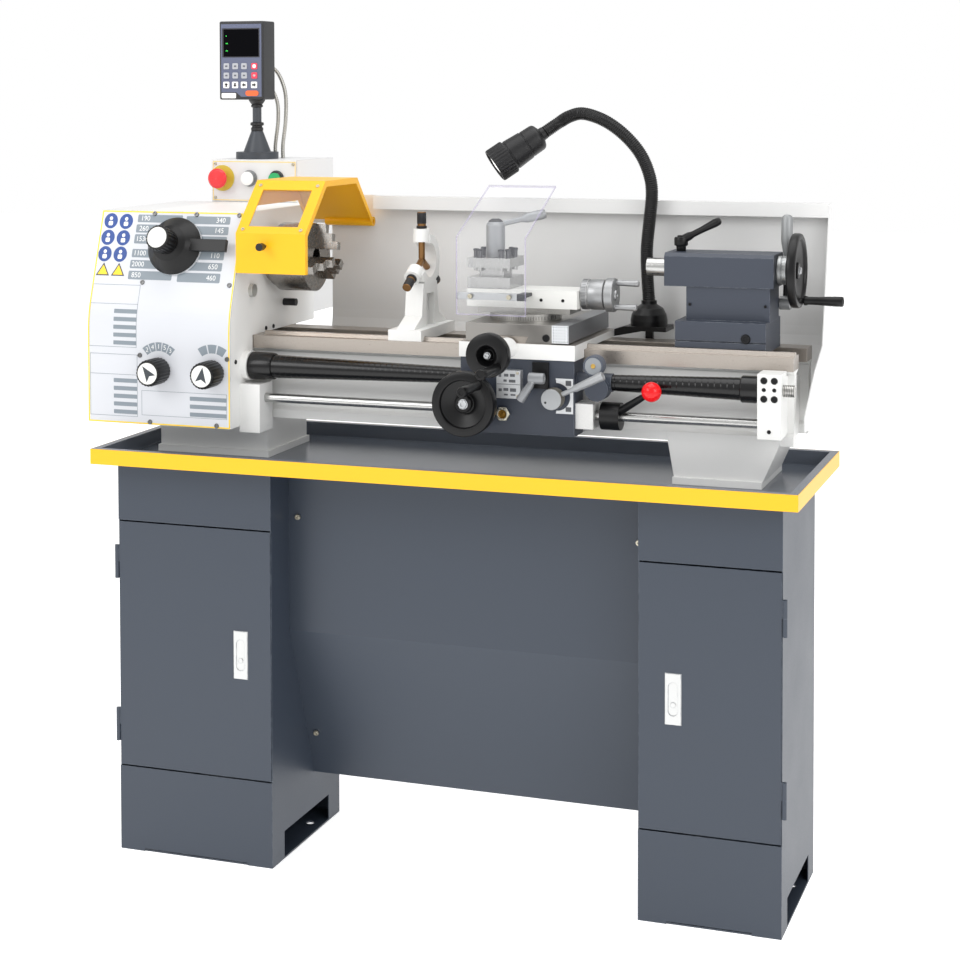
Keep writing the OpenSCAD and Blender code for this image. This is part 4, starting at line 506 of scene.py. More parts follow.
def wound(name, foot, tip, foot_radius, tip_radius, finish, node):
    """A screw cover: a cone of strip wound round the leadscrew, each turn stepping over the next one."""
    pitch, depth, rise_share, row_length = 0.0110, 0.0003, 0.12, 0.00055
    rounds, rows = 56, int((tip - foot) / row_length)
    solid = bmesh.new()
    rings = []
    for row in range(rows + 1):
        share = row / rows
        ring = []
        for step in range(rounds):
            angle = 2 * math.pi * step / rounds
            place = share * (tip - foot)
            tooth = ((place / pitch) - step / rounds) % 1.0
            proud = depth * (1 - tooth) if tooth > rise_share else depth * tooth / rise_share
            radius = foot_radius + (tip_radius - foot_radius) * share - depth + proud
            spot = (foot + place, screw_y + radius * math.cos(angle), screw_z + radius * math.sin(angle))
            ring.append(solid.verts.new(spot))
        rings.append(ring)
    for first, second in zip(rings, rings[1:]):
        for step in range(rounds):
            follow = (step + 1) % rounds
            solid.faces.new((first[step], first[follow], second[follow], second[step]))
    solid.faces.new(rings[0])
    solid.faces.new(list(reversed(rings[-1])))
    bmesh.ops.recalc_face_normals(solid, faces=solid.faces)
    return piece(name, solid, finish, None, [node])


def collar(solid, place, axis, profile, steps=56, ribs=0, rib_depth=0.0):
    """Adds a turned shape: profile is a list of (radius, height) along the axis, from place."""
    spot = towards(place, axis)
    rings = []
    closed = profile[0] == profile[-1]
    for radius, height in profile[:-1] if closed else profile:
        if radius < 1e-6:
            rings.append([solid.verts.new(spot @ Vector((0, 0, height)))] * steps)
            continue
        ring = []
        for step in range(steps):
            angle = 2 * math.pi * step / steps
            r = radius
            if ribs and radius > 0.6 * max(p[0] for p in profile):
                r -= rib_depth * (0.5 - 0.5 * math.cos(ribs * angle))
            ring.append(solid.verts.new(spot @ Vector((r * math.cos(angle), r * math.sin(angle), height))))
        rings.append(ring)
    for first, second in zip(rings, rings[1:] + rings[:1] if closed else rings[1:]):
        for step in range(steps):
            follow = (step + 1) % steps
            corners = [first[step], first[follow], second[follow], second[step]]
            corners = list(dict.fromkeys(corners))
            if len(corners) > 2:
                solid.faces.new(corners)
    for ring in () if closed else (rings[0], rings[-1]):
        if ring[0] is not ring[1]:
            solid.faces.new(ring)
    bmesh.ops.recalc_face_normals(solid, faces=solid.faces)


spring_black = coat("spring_black", screen(8, 8, 9), 0.24, grain=0.0007, bump=0.06, edge=0.0004, shine=0.4)
left_cover = wound("left_cover_spiral", -0.336, 0.0362, 0.0215, 0.0140, spring_black, "left_screw_cover")
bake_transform(left_cover)
right_cover = wound("right_cover_spiral", 0.3062, 0.532, 0.0140, 0.0195, spring_black, "right_screw_cover")
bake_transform(right_cover)
seat_rings = bmesh.new()
left_ring = [(0.011, 0), (0.0232, 0), (0.025, 0.002), (0.025, 0.040), (0.0238, 0.0465), (0.011, 0.0470)]
right_ring = [(0.011, 0), (0.0216, 0), (0.023, 0.002), (0.023, 0.029), (0.0216, 0.031), (0.011, 0.031)]
collar(seat_rings, (-0.382, screw_y, screw_z), to_right, left_ring)
collar(seat_rings, (0.531, screw_y, screw_z), to_right, right_ring)
piece("cover_collars", seat_rings, coat("cover_black", screen(8, 8, 9), 0.25, shine=0.4), "frame",
      ["left_screw_cover", "right_screw_cover"])


# Headstock: white casting over the left end of the bed, with the feed gearbox in front and a belt cover.
# Its spindle nose ring is ground, the oil plugs are turned, and the motor hangs behind it.
spindle_at = (0, 0.036, 1.098)
beyond_face = -0.3938
plug_alloy, plug_dark = screen(196, 196, 192), screen(50, 50, 52)
bare = [
    (lambda f: (f.x > beyond_face) * (f.off(spindle_at, to_right) < 0.0485), steel, 0.3, 0.9),
    (lambda f: (f.x > beyond_face) * (f.off((0, -0.063, 1.042), to_right) < 0.0125), plug_alloy, 0.3, 0.85),
    (lambda f: (f.x > beyond_face) * (f.off((0, 0.082, 1.006), to_right) < 0.0075), plug_dark, 0.35, 0.6),
]
dress(cast_white("headstock_casting", bare), "headstock")
dress(white_sheet, "end_cover")
dress(sheet_paint("panel_grey", screen(206, 208, 213), 0.38), "front_panel")
dress(coat("motor_grey", screen(60, 64, 70), 0.5, vary=0.06, grain=0.002, bump=0.2), "drive_motor")


# Panel print: flat inks on the bent front sheet: a yellow border, speed bars with plain numbers, tables.
# Each ink is a thin film that follows the sheet's bend.
def sheet_y(z):
    """The front of the panel sheet at a height: upright, then bent back on a 200 mm radius, then sloping."""
    lean = math.radians(17.41)
    if z < 0.965:
        return -0.150
    if z < 0.965 + 0.200 * math.sin(lean):
        return -0.150 + 0.200 - math.sqrt(0.200 ** 2 - (z - 0.965) ** 2)
    return -0.090 - (1.187 - z) * math.tan(lean)


def film(name, outlines, finish, lift, body="frame", meshes=(), surface=sheet_y):
    """Thin shapes on a sheet that faces the front: outlines are lists of (x, z) in millimetres."""
    solid = bmesh.new()
    for outline in outlines:
        solid.faces.new([solid.verts.new((x / 1000, 0, z / 1000)) for x, z in outline])
    for flat in meshes:
        solid.from_mesh(flat)
    for cut in range(966, 1028, 6) if surface is sheet_y else ():
        every = solid.verts[:] + solid.edges[:] + solid.faces[:]
        bmesh.ops.bisect_plane(solid, geom=every, plane_co=(0, 0, cut / 1000), plane_no=(0, 0, 1))
    front = solid.faces[:]
    behind = bmesh.ops.extrude_face_region(solid, geom=front)["geom"]
    deep = set(v for v in behind if isinstance(v, bmesh.types.BMVert))
    for vertex in solid.verts:
        vertex.co.y = surface(vertex.co.z) - (0.00002 if vertex in deep else lift)
    bmesh.ops.recalc_face_normals(solid, faces=solid.faces)
    return piece(name, solid, finish, body)


def bar(x0, x1, z0, z1, lean=0.0, corner=2.0):
    """An upright bar with rounded corners, its top moved to the right by lean."""
    outline = []
    for cx, cz, start in ((x1 - corner, z1 - corner, 0), (x0 + corner, z1 - corner, 90),
                          (x0 + corner, z0 + corner, 180), (x1 - corner, z0 + corner, 270)):
        for step in range(4):
            angle = math.radians(start + 30 * step)
            x, z = cx + corner * math.cos(angle), cz + corner * math.sin(angle)
            outline.append((x + lean * (z - z0) / (z1 - z0), z))
    return outline


def round_spot(x, z, radius, count=36):
    return [(x + radius * math.cos(2 * math.pi * i / count), z + radius * math.sin(2 * math.pi * i / count))
            for i in range(count)]


def strokes(x0, x1, z0, z1, width):
    """Four thin lines round a field."""
    return [[(x0, z0), (x1, z0), (x1, z0 + width), (x0, z0 + width)],
            [(x0, z1 - width), (x1, z1 - width), (x1, z1), (x0, z1)],
            [(x0, z0 + width), (x0 + width, z0 + width), (x0 + width, z1 - width), (x0, z1 - width)],
            [(x1 - width, z0 + width), (x1, z0 + width), (x1, z1 - width), (x1 - width, z1 - width)]]


def ink(name, colour, rough=0.42, vary=0.02):
    return coat(name, colour, rough, vary=vary, edge=0.0001, bump=0.02)


ink_grey = ink("ink_grey", screen(128, 138, 146))
ink_blue = ink("ink_blue", screen(6, 62, 138), 0.40)
ink_yellow = ink("ink_yellow", screen(250, 208, 30), 0.40)
ink_dark = ink("ink_dark", screen(52, 58, 64))
ink_white = ink("ink_white", screen(232, 232, 232), vary=0.01)
film("panel_border", strokes(-686, -395, 797.6, 1186.2, 2.4), ink_yellow, 0.00022)
left_tops = [(1180, 1166), (1162, 1147), (1144, 1127), (1117, 1102), (1097, 1082), (1077.5, 1062)]
right_tops = [(1179, 1165), (1161, 1146), (1143, 1127), (1116, 1101), (1096, 1081), (1077, 1060)]
bars = [bar(-610 - 3.7 * i / 5, -517 - 6.5 * i / 5, low, high) for i, (high, low) in enumerate(left_tops)]
bars += [bar(-509 - 3 * i / 5, -419 - 5.6 * i / 5, low, high) for i, (high, low) in enumerate(right_tops)]
tables = []
for x0, x1, top, rows in ((-633, -585, 1008, 5), (-633, -584.5, 880, 5)):
    tables += [bar(x0, x1, top - 14.5 * i - 7.6, top - 14.5 * i, corner=0.8) for i in range(rows)]
tables += [bar(-476, -402, 853 - 14.5 * i - 7.6, 853 - 14.5 * i, corner=0.8) for i in range(3)]


def tabs(x, z, inner, outer, half, count):
    """Grey tabs in a fan above a knob."""
    found = []
    for i in range(count):
        middle = 90 + half - 2 * half * i / (count - 1)
        sweep = half / (count - 1) * 0.86
        angles = [math.radians(middle - sweep + 2 * sweep * j / 4) for j in range(5)]
        found.append([(x + inner * math.cos(a), z + inner * math.sin(a)) for a in angles]
                     + [(x + outer * math.cos(a), z + outer * math.sin(a)) for a in reversed(angles)])
    return found


film("panel_bars", bars + tabs(-539, 898, 36, 52, 33, 5) + tabs(-430, 898, 36, 52, 24, 3), ink_grey, 0.00016)
film("panel_rows", tables, ink_grey, 0.00016)
film("panel_lines", strokes(-684, -585, 938, 1052, 0.7) + strokes(-682, -583.5, 810, 925, 0.7)
     + strokes(-575, -401, 814, 860, 0.7)
     + strokes(-684, -585, 1017, 1017.7, 0.35) + strokes(-682, -583.5, 887, 887.7, 0.35), ink_grey, 0.00020)
disc_spots = ((-666, 1167.4), (-633.8, 1166.8), (-667.5, 1136.9), (-635.1, 1136.7), (-669, 1106.8),
              (-636.7, 1106.7))
film("panel_discs", [round_spot(x, z, 14) for x, z in disc_spots], ink_blue, 0.00016)
film("panel_disc_marks", [round_spot(x, z + 4.6, 3.4, 20) for x, z in disc_spots]
     + [bar(x - 4.6, x + 4.6, z - 8.4, z - 0.4, corner=2.4) for x, z in disc_spots], ink_white, 0.00024)
film("panel_triangles", [[(-682, 1067.5), (-654, 1067.5), (-668, 1091)],
                         [(-650, 1067.5), (-622, 1067.5), (-636, 1091)]],
     ink_dark, 0.00014)
film("panel_triangle_fills", [[(-678.4, 1069.6), (-657.6, 1069.6), (-668, 1087)],
                              [(-646.4, 1069.6), (-625.6, 1069.6), (-636, 1087)]],
     ink_yellow, 0.00022)


def numbers(words, size):
    """Number shapes as flat meshes in the panel's X and Z: words are (text, x, z) of their middles."""
    shapes = []
    for text, x, z in words:
        letters = bpy.data.curves.new("figures", "FONT")
        letters.body = text
        letters.size = size / 1000
        letters.align_x, letters.align_y = "CENTER", "CENTER"
        letters.resolution_u = 3
        holder = bpy.data.objects.new("figures", letters)
        bpy.context.scene.collection.objects.link(holder)
        bpy.context.view_layer.update()
        flat = bpy.data.meshes.new_from_object(holder.evaluated_get(bpy.context.evaluated_depsgraph_get()))
        flat.transform(Matrix.Translation((x / 1000, 0, z / 1000)) @ Matrix.Rotation(math.pi / 2, 4, "X"))
        bpy.data.objects.remove(holder)
        shapes.append(flat)
    return shapes


left_words = zip(("190", "260", "1530", "1100", "2000", "850"), left_tops)
right_words = zip(("340", "145", "", "110", "650", "460"), right_tops)
words = [(text, -594 - 0.7 * i, (high + low) / 2) for i, (text, (high, low)) in enumerate(left_words)]
words += [(text, -438 - 1.0 * i, (high + low) / 2)
          for i, (text, (high, low)) in enumerate(right_words) if text]
film("panel_numbers", [], ink_white, 0.00026, meshes=numbers(words, 13))
fan = [math.radians(90 + 33 - 16.5 * i) for i in range(5)]
marks = [(text, -539 + 44 * math.cos(way), 898 + 44 * math.sin(way)) for text, way in zip("24153", fan)]
film("feed_numbers", [], ink_white, 0.00026, meshes=numbers(marks, 12))
panel_slope = (0, -0.9542, 0.2992)
low_spots = ((-0.558, 0.802), (-0.422, 0.802), (-0.578, 0.9245), (-0.400, 0.9245))
high_spots = ((-0.576, 1.182), (-0.489, 1.182), (-0.402, 1.182), (-0.582, 1.057), (-0.404, 1.057))
panel_spots = [((x, -0.150, z), to_front) for x, z in low_spots]
panel_spots += [((x, sheet_y(z), z), panel_slope) for x, z in high_spots]
screw_grey = coat("screw_grey", screen(112, 112, 112), 0.34, metal=0.7)
heads("panel_screws", panel_spots, screw_grey, "frame", 0.0046, 0.0022, 6, 0.5)
side_spots = [((-0.394, y, z), to_right) for y, z in ((-0.128, 0.917), (0.001, 0.9645), (0.0335, 0.9645))]
heads("casting_screws", side_spots, black_steel, "frame", 0.0042, 0.0016, 6, 0.55)


# Selector knobs: moulded black plastic, a domed speed disc with a lever and three fluted knobs.
# Their caps are white, with a slate pointer printed on the two for the feed.
def black_plastic(name, areas=()):
    return coat(name, screen(9, 9, 10), 0.34, vary=0.1, grain=0.0008, bump=0.05, shine=0.3, areas=areas)


knob_black = black_plastic("knob_black")
selector_axis = panel_slope
selector_foot = (-0.523, -0.11006, 1.123)
selector_line = (selector_foot, selector_axis)
edge_ring = [(lambda f: (f.off(*selector_line) > 0.0515) * (f.off(*selector_line) < 0.056)
              * (f.along(*selector_line) < 0.006), screen(200, 202, 204), 0.35, 0.3)]
dress(black_plastic("selector_black", edge_ring), "speed_selector")
cap_white = screen(236, 236, 232)


def fluted(node, foot, axis, radius, height):
    """A fluted knob with a white cap let into its end."""
    name, cap = node + "_fluted", radius * 0.80
    cap_area = [(lambda f: (f.off(foot, axis) < cap) * (f.along(foot, axis) > height - 0.0022), cap_white,
                 0.4, 0.0)]
    solid = bmesh.new()
    profile = [(0, 0), (radius * 0.98, 0), (radius, 0.0015), (radius, height - 0.004),
               (radius * 0.95, height - 0.0012), (radius * 0.88, height), (cap, height),
               (radius * 0.79, height - 0.0012), (0, height - 0.0010)]
    collar(solid, foot, axis, profile, steps=120, ribs=24, rib_depth=0.0011)
    return piece(name, solid, black_plastic(name + "_finish", cap_area), node, [node])


feed_knobs = (("left", -0.539, 38), ("right", -0.430, -8))
range_foot = tuple(Vector(selector_foot) + Vector(selector_axis) * 0.0426)
fluted("range_knob", range_foot, selector_axis, 0.024, 0.034)
for hand, x, heading in feed_knobs:
    fluted("feed_knob_" + hand, (x, -0.1503, 0.898), to_front, 0.0245, 0.044)


def pointer(name, place, heading, body):
    """A printed arrowhead on a knob cap that faces the front."""
    solid = bmesh.new()
    outline = [(0, 0.0165), (0.0110, -0.0115), (0, -0.0060), (-0.0110, -0.0115)]
    turned = Matrix.Rotation(heading, 2)
    corners = [turned @ Vector(p) for p in outline]
    front = [solid.verts.new((place[0] + c.x, place[1] - 0.00025, place[2] + c.y)) for c in corners]
    rear = [solid.verts.new((place[0] + c.x, place[1] + 0.0004, place[2] + c.y)) for c in corners]
    solid.faces.new(front)
    solid.faces.new(list(reversed(rear)))
    for i in range(4):
        solid.faces.new((front[i], rear[i], rear[(i + 1) % 4], front[(i + 1) % 4]))
    bmesh.ops.recalc_face_normals(solid, faces=solid.faces)
    return piece(name, solid, ink_dark, body)


for hand, x, heading in feed_knobs:
    pointer("feed_pointer_" + hand, (x, -0.1933, 0.898), math.radians(heading), "feed_knob_" + hand)


# Spindle and chuck: hardened, ground steel; three stepped jaws slide in slots of the chuck body.
# The chuck and its jaws are worn bright at their edges.
chuck_steel = coat("chuck_steel", screen(150, 147, 143), 0.26, metal=1.0, vary=0.08, grain=0.0009,
                   streak=(1, 0.15, 0.15), wear=screen(225, 224, 220))
dress(chuck_steel, "chuck_body", "chuck_jaw_1", "chuck_jaw_2", "chuck_jaw_3")
dress(ground, "spindle")


# Chuck guard: folded yellow sheet on a hinge tube, with a clear window screwed into its slope and a knob.
# The pane is thin cast plastic, held by four small screws.
def guard_yellow(name, colour, rough, areas=()):
    return coat(name, colour, rough, vary=0.03, grain=0.0016, bump=0.12, areas=areas)


guard_knob = [(lambda f: (f.y < -0.1305) * (f.z > 1.110), screen(24, 24, 25), 0.3, 0.0)]
dress(guard_yellow("guard_paint", screen(246, 182, 8), 0.38, guard_knob), "chuck_guard")


def see_through(name, tint, share, edge_tint_and_highlight=None, edges=None):
    """A thin clear sheet that shows what is behind it, with its cut edges catching the light."""
    f = Finish(name)
    base = f.mix(f.noise(0.06), tinted(tint, 0.96), tint)
    cover = share + (f.noise(0.09) - 0.5) * 0.02
    if edges:
        mask = edges(f)
        base = f.mix(mask, base, edge_tint_and_highlight)
        cover = cover * (1 - mask) + mask * 0.42
    f.feed(f.shader.inputs["Base Color"], base)
    f.feed(f.shader.inputs["Alpha"], cover)
    f.feed(f.shader.inputs["Roughness"], f.noise(0.02) * 0.06 + 0.04)
    return f.material


dress(see_through("guard_pane", screen(235, 240, 242), 0.07), "guard_window")
cheek = bmesh.new()
cheek_line = [(-0.0826, 1.198), (-0.0380, 1.2428), (0.1118, 1.2428), (0.1525, 1.198)]
cheek_sides = [[cheek.verts.new((x, y, z)) for y, z in cheek_line] for x in (-0.3890, -0.3872)]
for side in cheek_sides:
    cheek.faces.new(side)
for corner in range(len(cheek_line)):
    follow = (corner + 1) % len(cheek_line)
    near, far = cheek_sides
    cheek.faces.new((near[corner], near[follow], far[follow], far[corner]))
bmesh.ops.recalc_face_normals(cheek, faces=cheek.faces)
# The cheek closes the guard's end on the inside. Its yellow is darker and more orange than the guard's:
# painted shade of the guard's inside.
cheek_yellow_painted_shade = guard_yellow("cheek_yellow_painted_shade", screen(240, 168, 8), 0.40)
piece("guard_cheek", cheek, cheek_yellow_painted_shade, "chuck_guard")
pane_slope, pane_edges = (0, -0.7071, 0.7071), ((-0.1236, 1.1594), (-0.0473, 1.2357))
guard_spots = [((x, y, z), pane_slope) for x in (-0.3795, -0.2645) for y, z in pane_edges]
heads("guard_screws", guard_spots, zinc, "chuck_guard", 0.0036, 0.0018, 6, 0.5)


def turned(name, shapes, finish, body, slot, stands_for=()):
    """A piece made of turned shapes, each given as collar takes it, in millimetres along its axis."""
    solid = bmesh.new()
    for place, axis, profile, *more in shapes:
        collar(solid, place, axis, [(radius / 1000, height / 1000) for radius, height in profile], *more)
    return piece(name, solid, finish, body, stands_for)


# Control box: white sheet box behind the headstock with a printed plate, a signal lamp and two push buttons.
# The emergency button is a red mushroom on a yellow disc; lamp and start button sit in screwed bezels.
stop_at, lamp_at, start_at = (-0.592, 0.2205, 1.235), (-0.532, 0.2205, 1.235), (-0.473, 0.2205, 1.235)
stop_disc = [(lambda f: (f.off(stop_at, to_front) < 0.0265) * (f.y < 0.2203), screen(206, 186, 66), 0.42,
              0.0)]
dress(sheet_paint("box_white", screen(222, 222, 222), areas=stop_disc), "control_box")
dress(coat("stop_red", screen(226, 40, 46), 0.36, vary=0.05, grain=0.001, gloss=0.3), "emergency_button")
dress(coat("start_green", screen(28, 168, 96), 0.28, vary=0.05, grain=0.001, gloss=0.5), "start_button")
film("plate_lines", strokes(-613.6, -431.8, 1190.4, 1268.6, 1.1), ink_yellow, 0.0002,
     surface=lambda z: 0.2205)
plate_corners = [((x, 0.2205, z), to_front) for x in (-0.6085, -0.4370) for z in (1.1955, 1.2636)]
heads("plate_screws", plate_corners, zinc, "frame", 0.0034, 0.0018, 4, 0.45)
lamp_ring = [(lambda f: f.off(lamp_at, to_front) > 0.0139, screen(132, 134, 136), 0.34, 0.6)]
lamp_white = coat("lamp_white", screen(236, 236, 234), 0.3, vary=0.02, grain=0.001, areas=lamp_ring)
lamp_profile = [(0, 0), (16.6, 0), (16.6, 2.2), (15.4, 3.2), (14.6, 3.4), (14.6, 11.6), (13.2, 13.8),
                (9.0, 14.8), (0, 15.0)]
turned("signal_lamp", [(lamp_at, to_front, lamp_profile)], lamp_white, "frame", "white_sheet")
bezel_dark = coat("bezel_dark", screen(54, 58, 60), 0.3, metal=0.5, grain=0.0008)
bezel_profile = [(12.5, 0.2), (16.4, 0.2), (16.4, 2.0), (15.0, 3.4), (14.6, 6.2), (13.4, 7.0), (12.5, 6.6),
                 (12.5, 0.2)]
turned("start_bezel", [(start_at, to_front, bezel_profile)], bezel_dark, "frame", "black_metal")


# Readout: a moulded display on a turned stand, its face a printed foil with a dark screen and rubber keys.
# A jointed arm with clamp collars carries it on a weighted foot.
dress(coat("stand_black", screen(62, 66, 72), 0.42, metal=0.1, grain=0.001, bump=0.1), "readout_stand")
arm_black = coat("arm_black", screen(26, 26, 28), 0.4, grain=0.001, bump=0.1)
turned("arm_collars", [((-0.546, 0.285, z / 1000), upwards, profile) for z, profile in (
    (1328, [(0, 0), (11, 0), (12.4, 1.2), (12.4, 7), (10.4, 8.2), (10.4, 11), (13.6, 12), (13.6, 17),
            (10.2, 18.6), (0, 18.6)]),
    (1376, [(0, 0), (10, 0), (12, 1.6), (12, 5), (10.4, 6.4), (13, 8.6), (16.5, 14.4), (16.5, 15.9),
            (0, 15.9)]),
)], arm_black, "frame", "black_metal")


def rounded_box(name, middle, size, edge, segments, finish, body, stands_for=()):
    """A block with rounded edges, given by its middle and its size."""
    solid = bmesh.new()
    bmesh.ops.create_cube(solid, size=1)
    for corner in solid.verts:
        corner.co = Vector([m + c * s for m, c, s in zip(middle, corner.co, size)])
    bmesh.ops.bevel(solid, geom=solid.edges[:], offset=edge, segments=segments, profile=0.6, affect="EDGES")
    return piece(name, solid, finish, body, stands_for)


display_black = coat("display_black", screen(36, 37, 39), 0.5, vary=0.05, grain=0.0009, bump=0.16)
rounded_box("display_case", (-0.5695, 0.2895, 1.4715), (0.099, 0.055, 0.159), 0.0042, 4, display_black,
            "readout_display", ["readout_display"])


def on_face(name, outlines, colour, lift, rough=0.4, shine=0.5):
    """Thin shapes on the display's face: outlines in millimetres from its top left corner, downwards."""
    placed = [[(-619 + x, 1551 - z) for x, z in reversed(outline)] for outline in outlines]
    finish = coat(name + "_finish", colour, rough, vary=0.03, grain=0.0009, edge=0.0001, bump=0.04,
                  shine=shine)
    return film(name, placed, finish, lift, "readout_display", surface=lambda z: 0.262)


on_face("face_foil", [[(4.5, 5.9), (94.5, 5.9), (94.5, 153), (49, 153), (38, 144), (4.5, 144)]],
        screen(92, 98, 122), 0.0004)
on_face("face_label", [bar(5, 37.5, 145.5, 156)], screen(240, 240, 238), 0.0005)
on_face("screen_rim", [bar(7.1, 90.6, 14.2, 73.4, corner=1.2)], screen(40, 40, 46), 0.0007)
on_face("screen_glass", [bar(10.4, 88.6, 16.4, 71.6, corner=0.8)], screen(5, 5, 8), 0.0010, rough=0.12,
        shine=0.06)
on_face("screen_marks", [bar(15.5 + 2.6 * i, 17.4 + 2.6 * i, z - 1.1, z + 1.1, corner=0.3)
                         for z, count in ((30, 1), (45, 2), (60, 2)) for i in range(count)],
        screen(40, 220, 70), 0.0012)
columns, rows = (10.4, 30.2, 50.0, 72.6), (85.0, 103.8, 122.4)
on_face("keys_grey", [bar(x, x + 12.4, z, z + 12.2) for x in columns[:3] for z in rows[:2]],
        screen(172, 174, 180), 0.0016)
on_face("keys_red", [bar(columns[3], columns[3] + 12.8, z, z + 12.4) for z in rows[:2]],
        screen(232, 62, 84), 0.0016)
on_face("keys_white", [bar(x - 1, x + 12.4, rows[2], rows[2] + 13.2) for x in columns],
        screen(240, 240, 240), 0.0016)
on_face("key_orange", [bar(59, 88, 140.4, 151.4, corner=5.4)], screen(238, 104, 52), 0.0016)
on_face("key_marks", [bar(x + 3.6, x + 8.8, z + 4.4, z + 7.8, corner=0.6) for x in columns[:3]
                      for z in rows[:2]],
        screen(96, 98, 106), 0.0018)
on_face("key_spots", [round_spot(columns[3] + 6.4, rows[0] + 6.2, 4.0),
                      bar(columns[3] + 3, columns[3] + 9.8, rows[1] + 4.6, rows[1] + 7.6)],
        screen(246, 236, 238), 0.0018)
arrow = [(0, -4.4), (4.0, 0), (1.7, 0), (1.7, 4.2), (-1.7, 4.2), (-1.7, 0), (-4.0, 0)]
arrow_turns = [((x, z), (-x, -z), (z, x), (-z, -x)) for x, z in arrow]
on_face("key_arrows", [[(columns[i] + 5.7 + corner[i][0], rows[2] + 6.6 + corner[i][1])
                        for corner in arrow_turns] for i in range(4)],
        screen(22, 22, 24), 0.0018)


# Carriage: white saddle on the ways, with the dark apron bolted below it and its feed controls in front.
# The saddle's slide faces are ground; the apron keeps its cast skin under slate paint, rubbed at the edges.
saddle_ground = [(lambda f: (f.z > 0.9707) * (f.y > -0.1137), steel, 0.32, 0.85)]
dress(cast_white("saddle_casting", saddle_ground), "saddle")
dark = screen(54, 60, 72)
dark_pale = screen(150, 156, 164)
plate_box = (lambda f: (f.y < -0.1112) * (f.x > 0.106) * (f.x < 0.152) * (f.z > 0.875) * (f.z < 0.926))
apron_areas = [
    (plate_box, screen(196, 198, 200), 0.4, 0.55),
    (lambda f: (f.x > 0.2445) * (f.z < 0.8715), casting, 0.4, 0.0),
    (lambda f: (f.x > 0.262) * (f.x < 0.299) * (f.z > 0.919) * (f.y < -0.0985), screen(86, 92, 104), 0.4,
     0.2),
]
dress(coat("apron_casting", dark, 0.46, vary=0.06, grain=0.0022, bump=0.2, wear=dark_pale,
           areas=apron_areas), "apron")
plate_marks = [bar(x, x + w, z, z + h, corner=0.4) for x, z, w, h in (
    (111, 913, 5, 6), (121, 914, 8, 5), (132, 914, 9, 5), (120, 905, 6, 4), (130, 904, 12, 5),
    (111, 888, 6, 5), (120, 889, 9, 5), (132, 888, 11, 6), (121, 881, 7, 3), (133, 881, 9, 3))]
plate_ink = ink("plate_ink", screen(84, 86, 90), 0.45, vary=0.1)
film("feed_marks", plate_marks + [bar(108, 150, 900.2, 901.2, corner=0.3)], plate_ink, 0.0002,
     "carriage", surface=lambda z: -0.125)
pin_places = ((0.1125, 0.9205), (0.1455, 0.9205), (0.1455, 0.8805))
pin_spots = [((x, -0.125, z), to_front) for x, z in pin_places]
heads("plate_pins", pin_spots, zinc, "carriage", 0.0026, 0.001, 4, 0.4)
notched_plate = [(211, 913), (242.4, 913), (242.4, 852), (211, 852)]
notched_plate += [(213 + 24 * math.cos(math.radians(d)), 881 + 24 * math.sin(math.radians(d)))
                  for d in range(-92, 93, 8)]
film("halfnut_plate", [notched_plate], coat("plate_pale", screen(222, 224, 226), 0.4, metal=0.2, vary=0.03),
     0.0012, "carriage", surface=lambda z: -0.111)
film("halfnut_marks", [bar(229, 239, 901, 910, corner=0.6), bar(229, 239, 856, 864, corner=0.6)], plate_ink,
     0.0014, "carriage", surface=lambda z: -0.111)
glass_at = (0.116, -0.1172, 0.847)
glass_areas = [(lambda f: f.off(glass_at, to_front) < 0.0078, screen(150, 112, 46), 0.2, 0.6)]
glass_finish = coat("glass_ring", screen(202, 198, 182), 0.26, metal=0.9, grain=0.0006, areas=glass_areas)
glass_bolt = [(0, 0), (13.4, 0), (13.4, 1.8), (12.2, 2.6), (8.6, 2.6), (7.8, 0.9), (3, 0.7), (2.6, 1.4),
              (0, 1.4)]
glass_rim = [(7.9, 0), (9.4, 0), (9.4, 3.6), (8.6, 3.9), (7.9, 3.6), (7.9, 0)]
turned("sight_glass", [(glass_at, to_front, glass_bolt, 6), (glass_at, to_front, glass_rim)],
       glass_finish, "carriage", "bronze")
dial_at = (0.280, -0.1170, 0.938)
dial_areas = [(lambda f: f.off(dial_at, to_front) < 0.0042, screen(190, 156, 84), 0.3, 0.9),
              (lambda f: (f.off(dial_at, to_front) < 0.0146) * (f.off(dial_at, to_front) > 0.0042),
               screen(146, 150, 154), 0.4, 0.5)]
turned("thread_dial", [(dial_at, to_front, [(0, 0), (18, 0), (18.2, 1.4), (17.4, 2.4), (15.4, 2.6),
                                            (14.8, 1.6), (4.4, 1.4), (4.0, 2.4), (0, 2.6)])],
       coat("dial_grey", screen(76, 82, 94), 0.4, vary=0.06, areas=dial_areas), "carriage", "dark_casting")


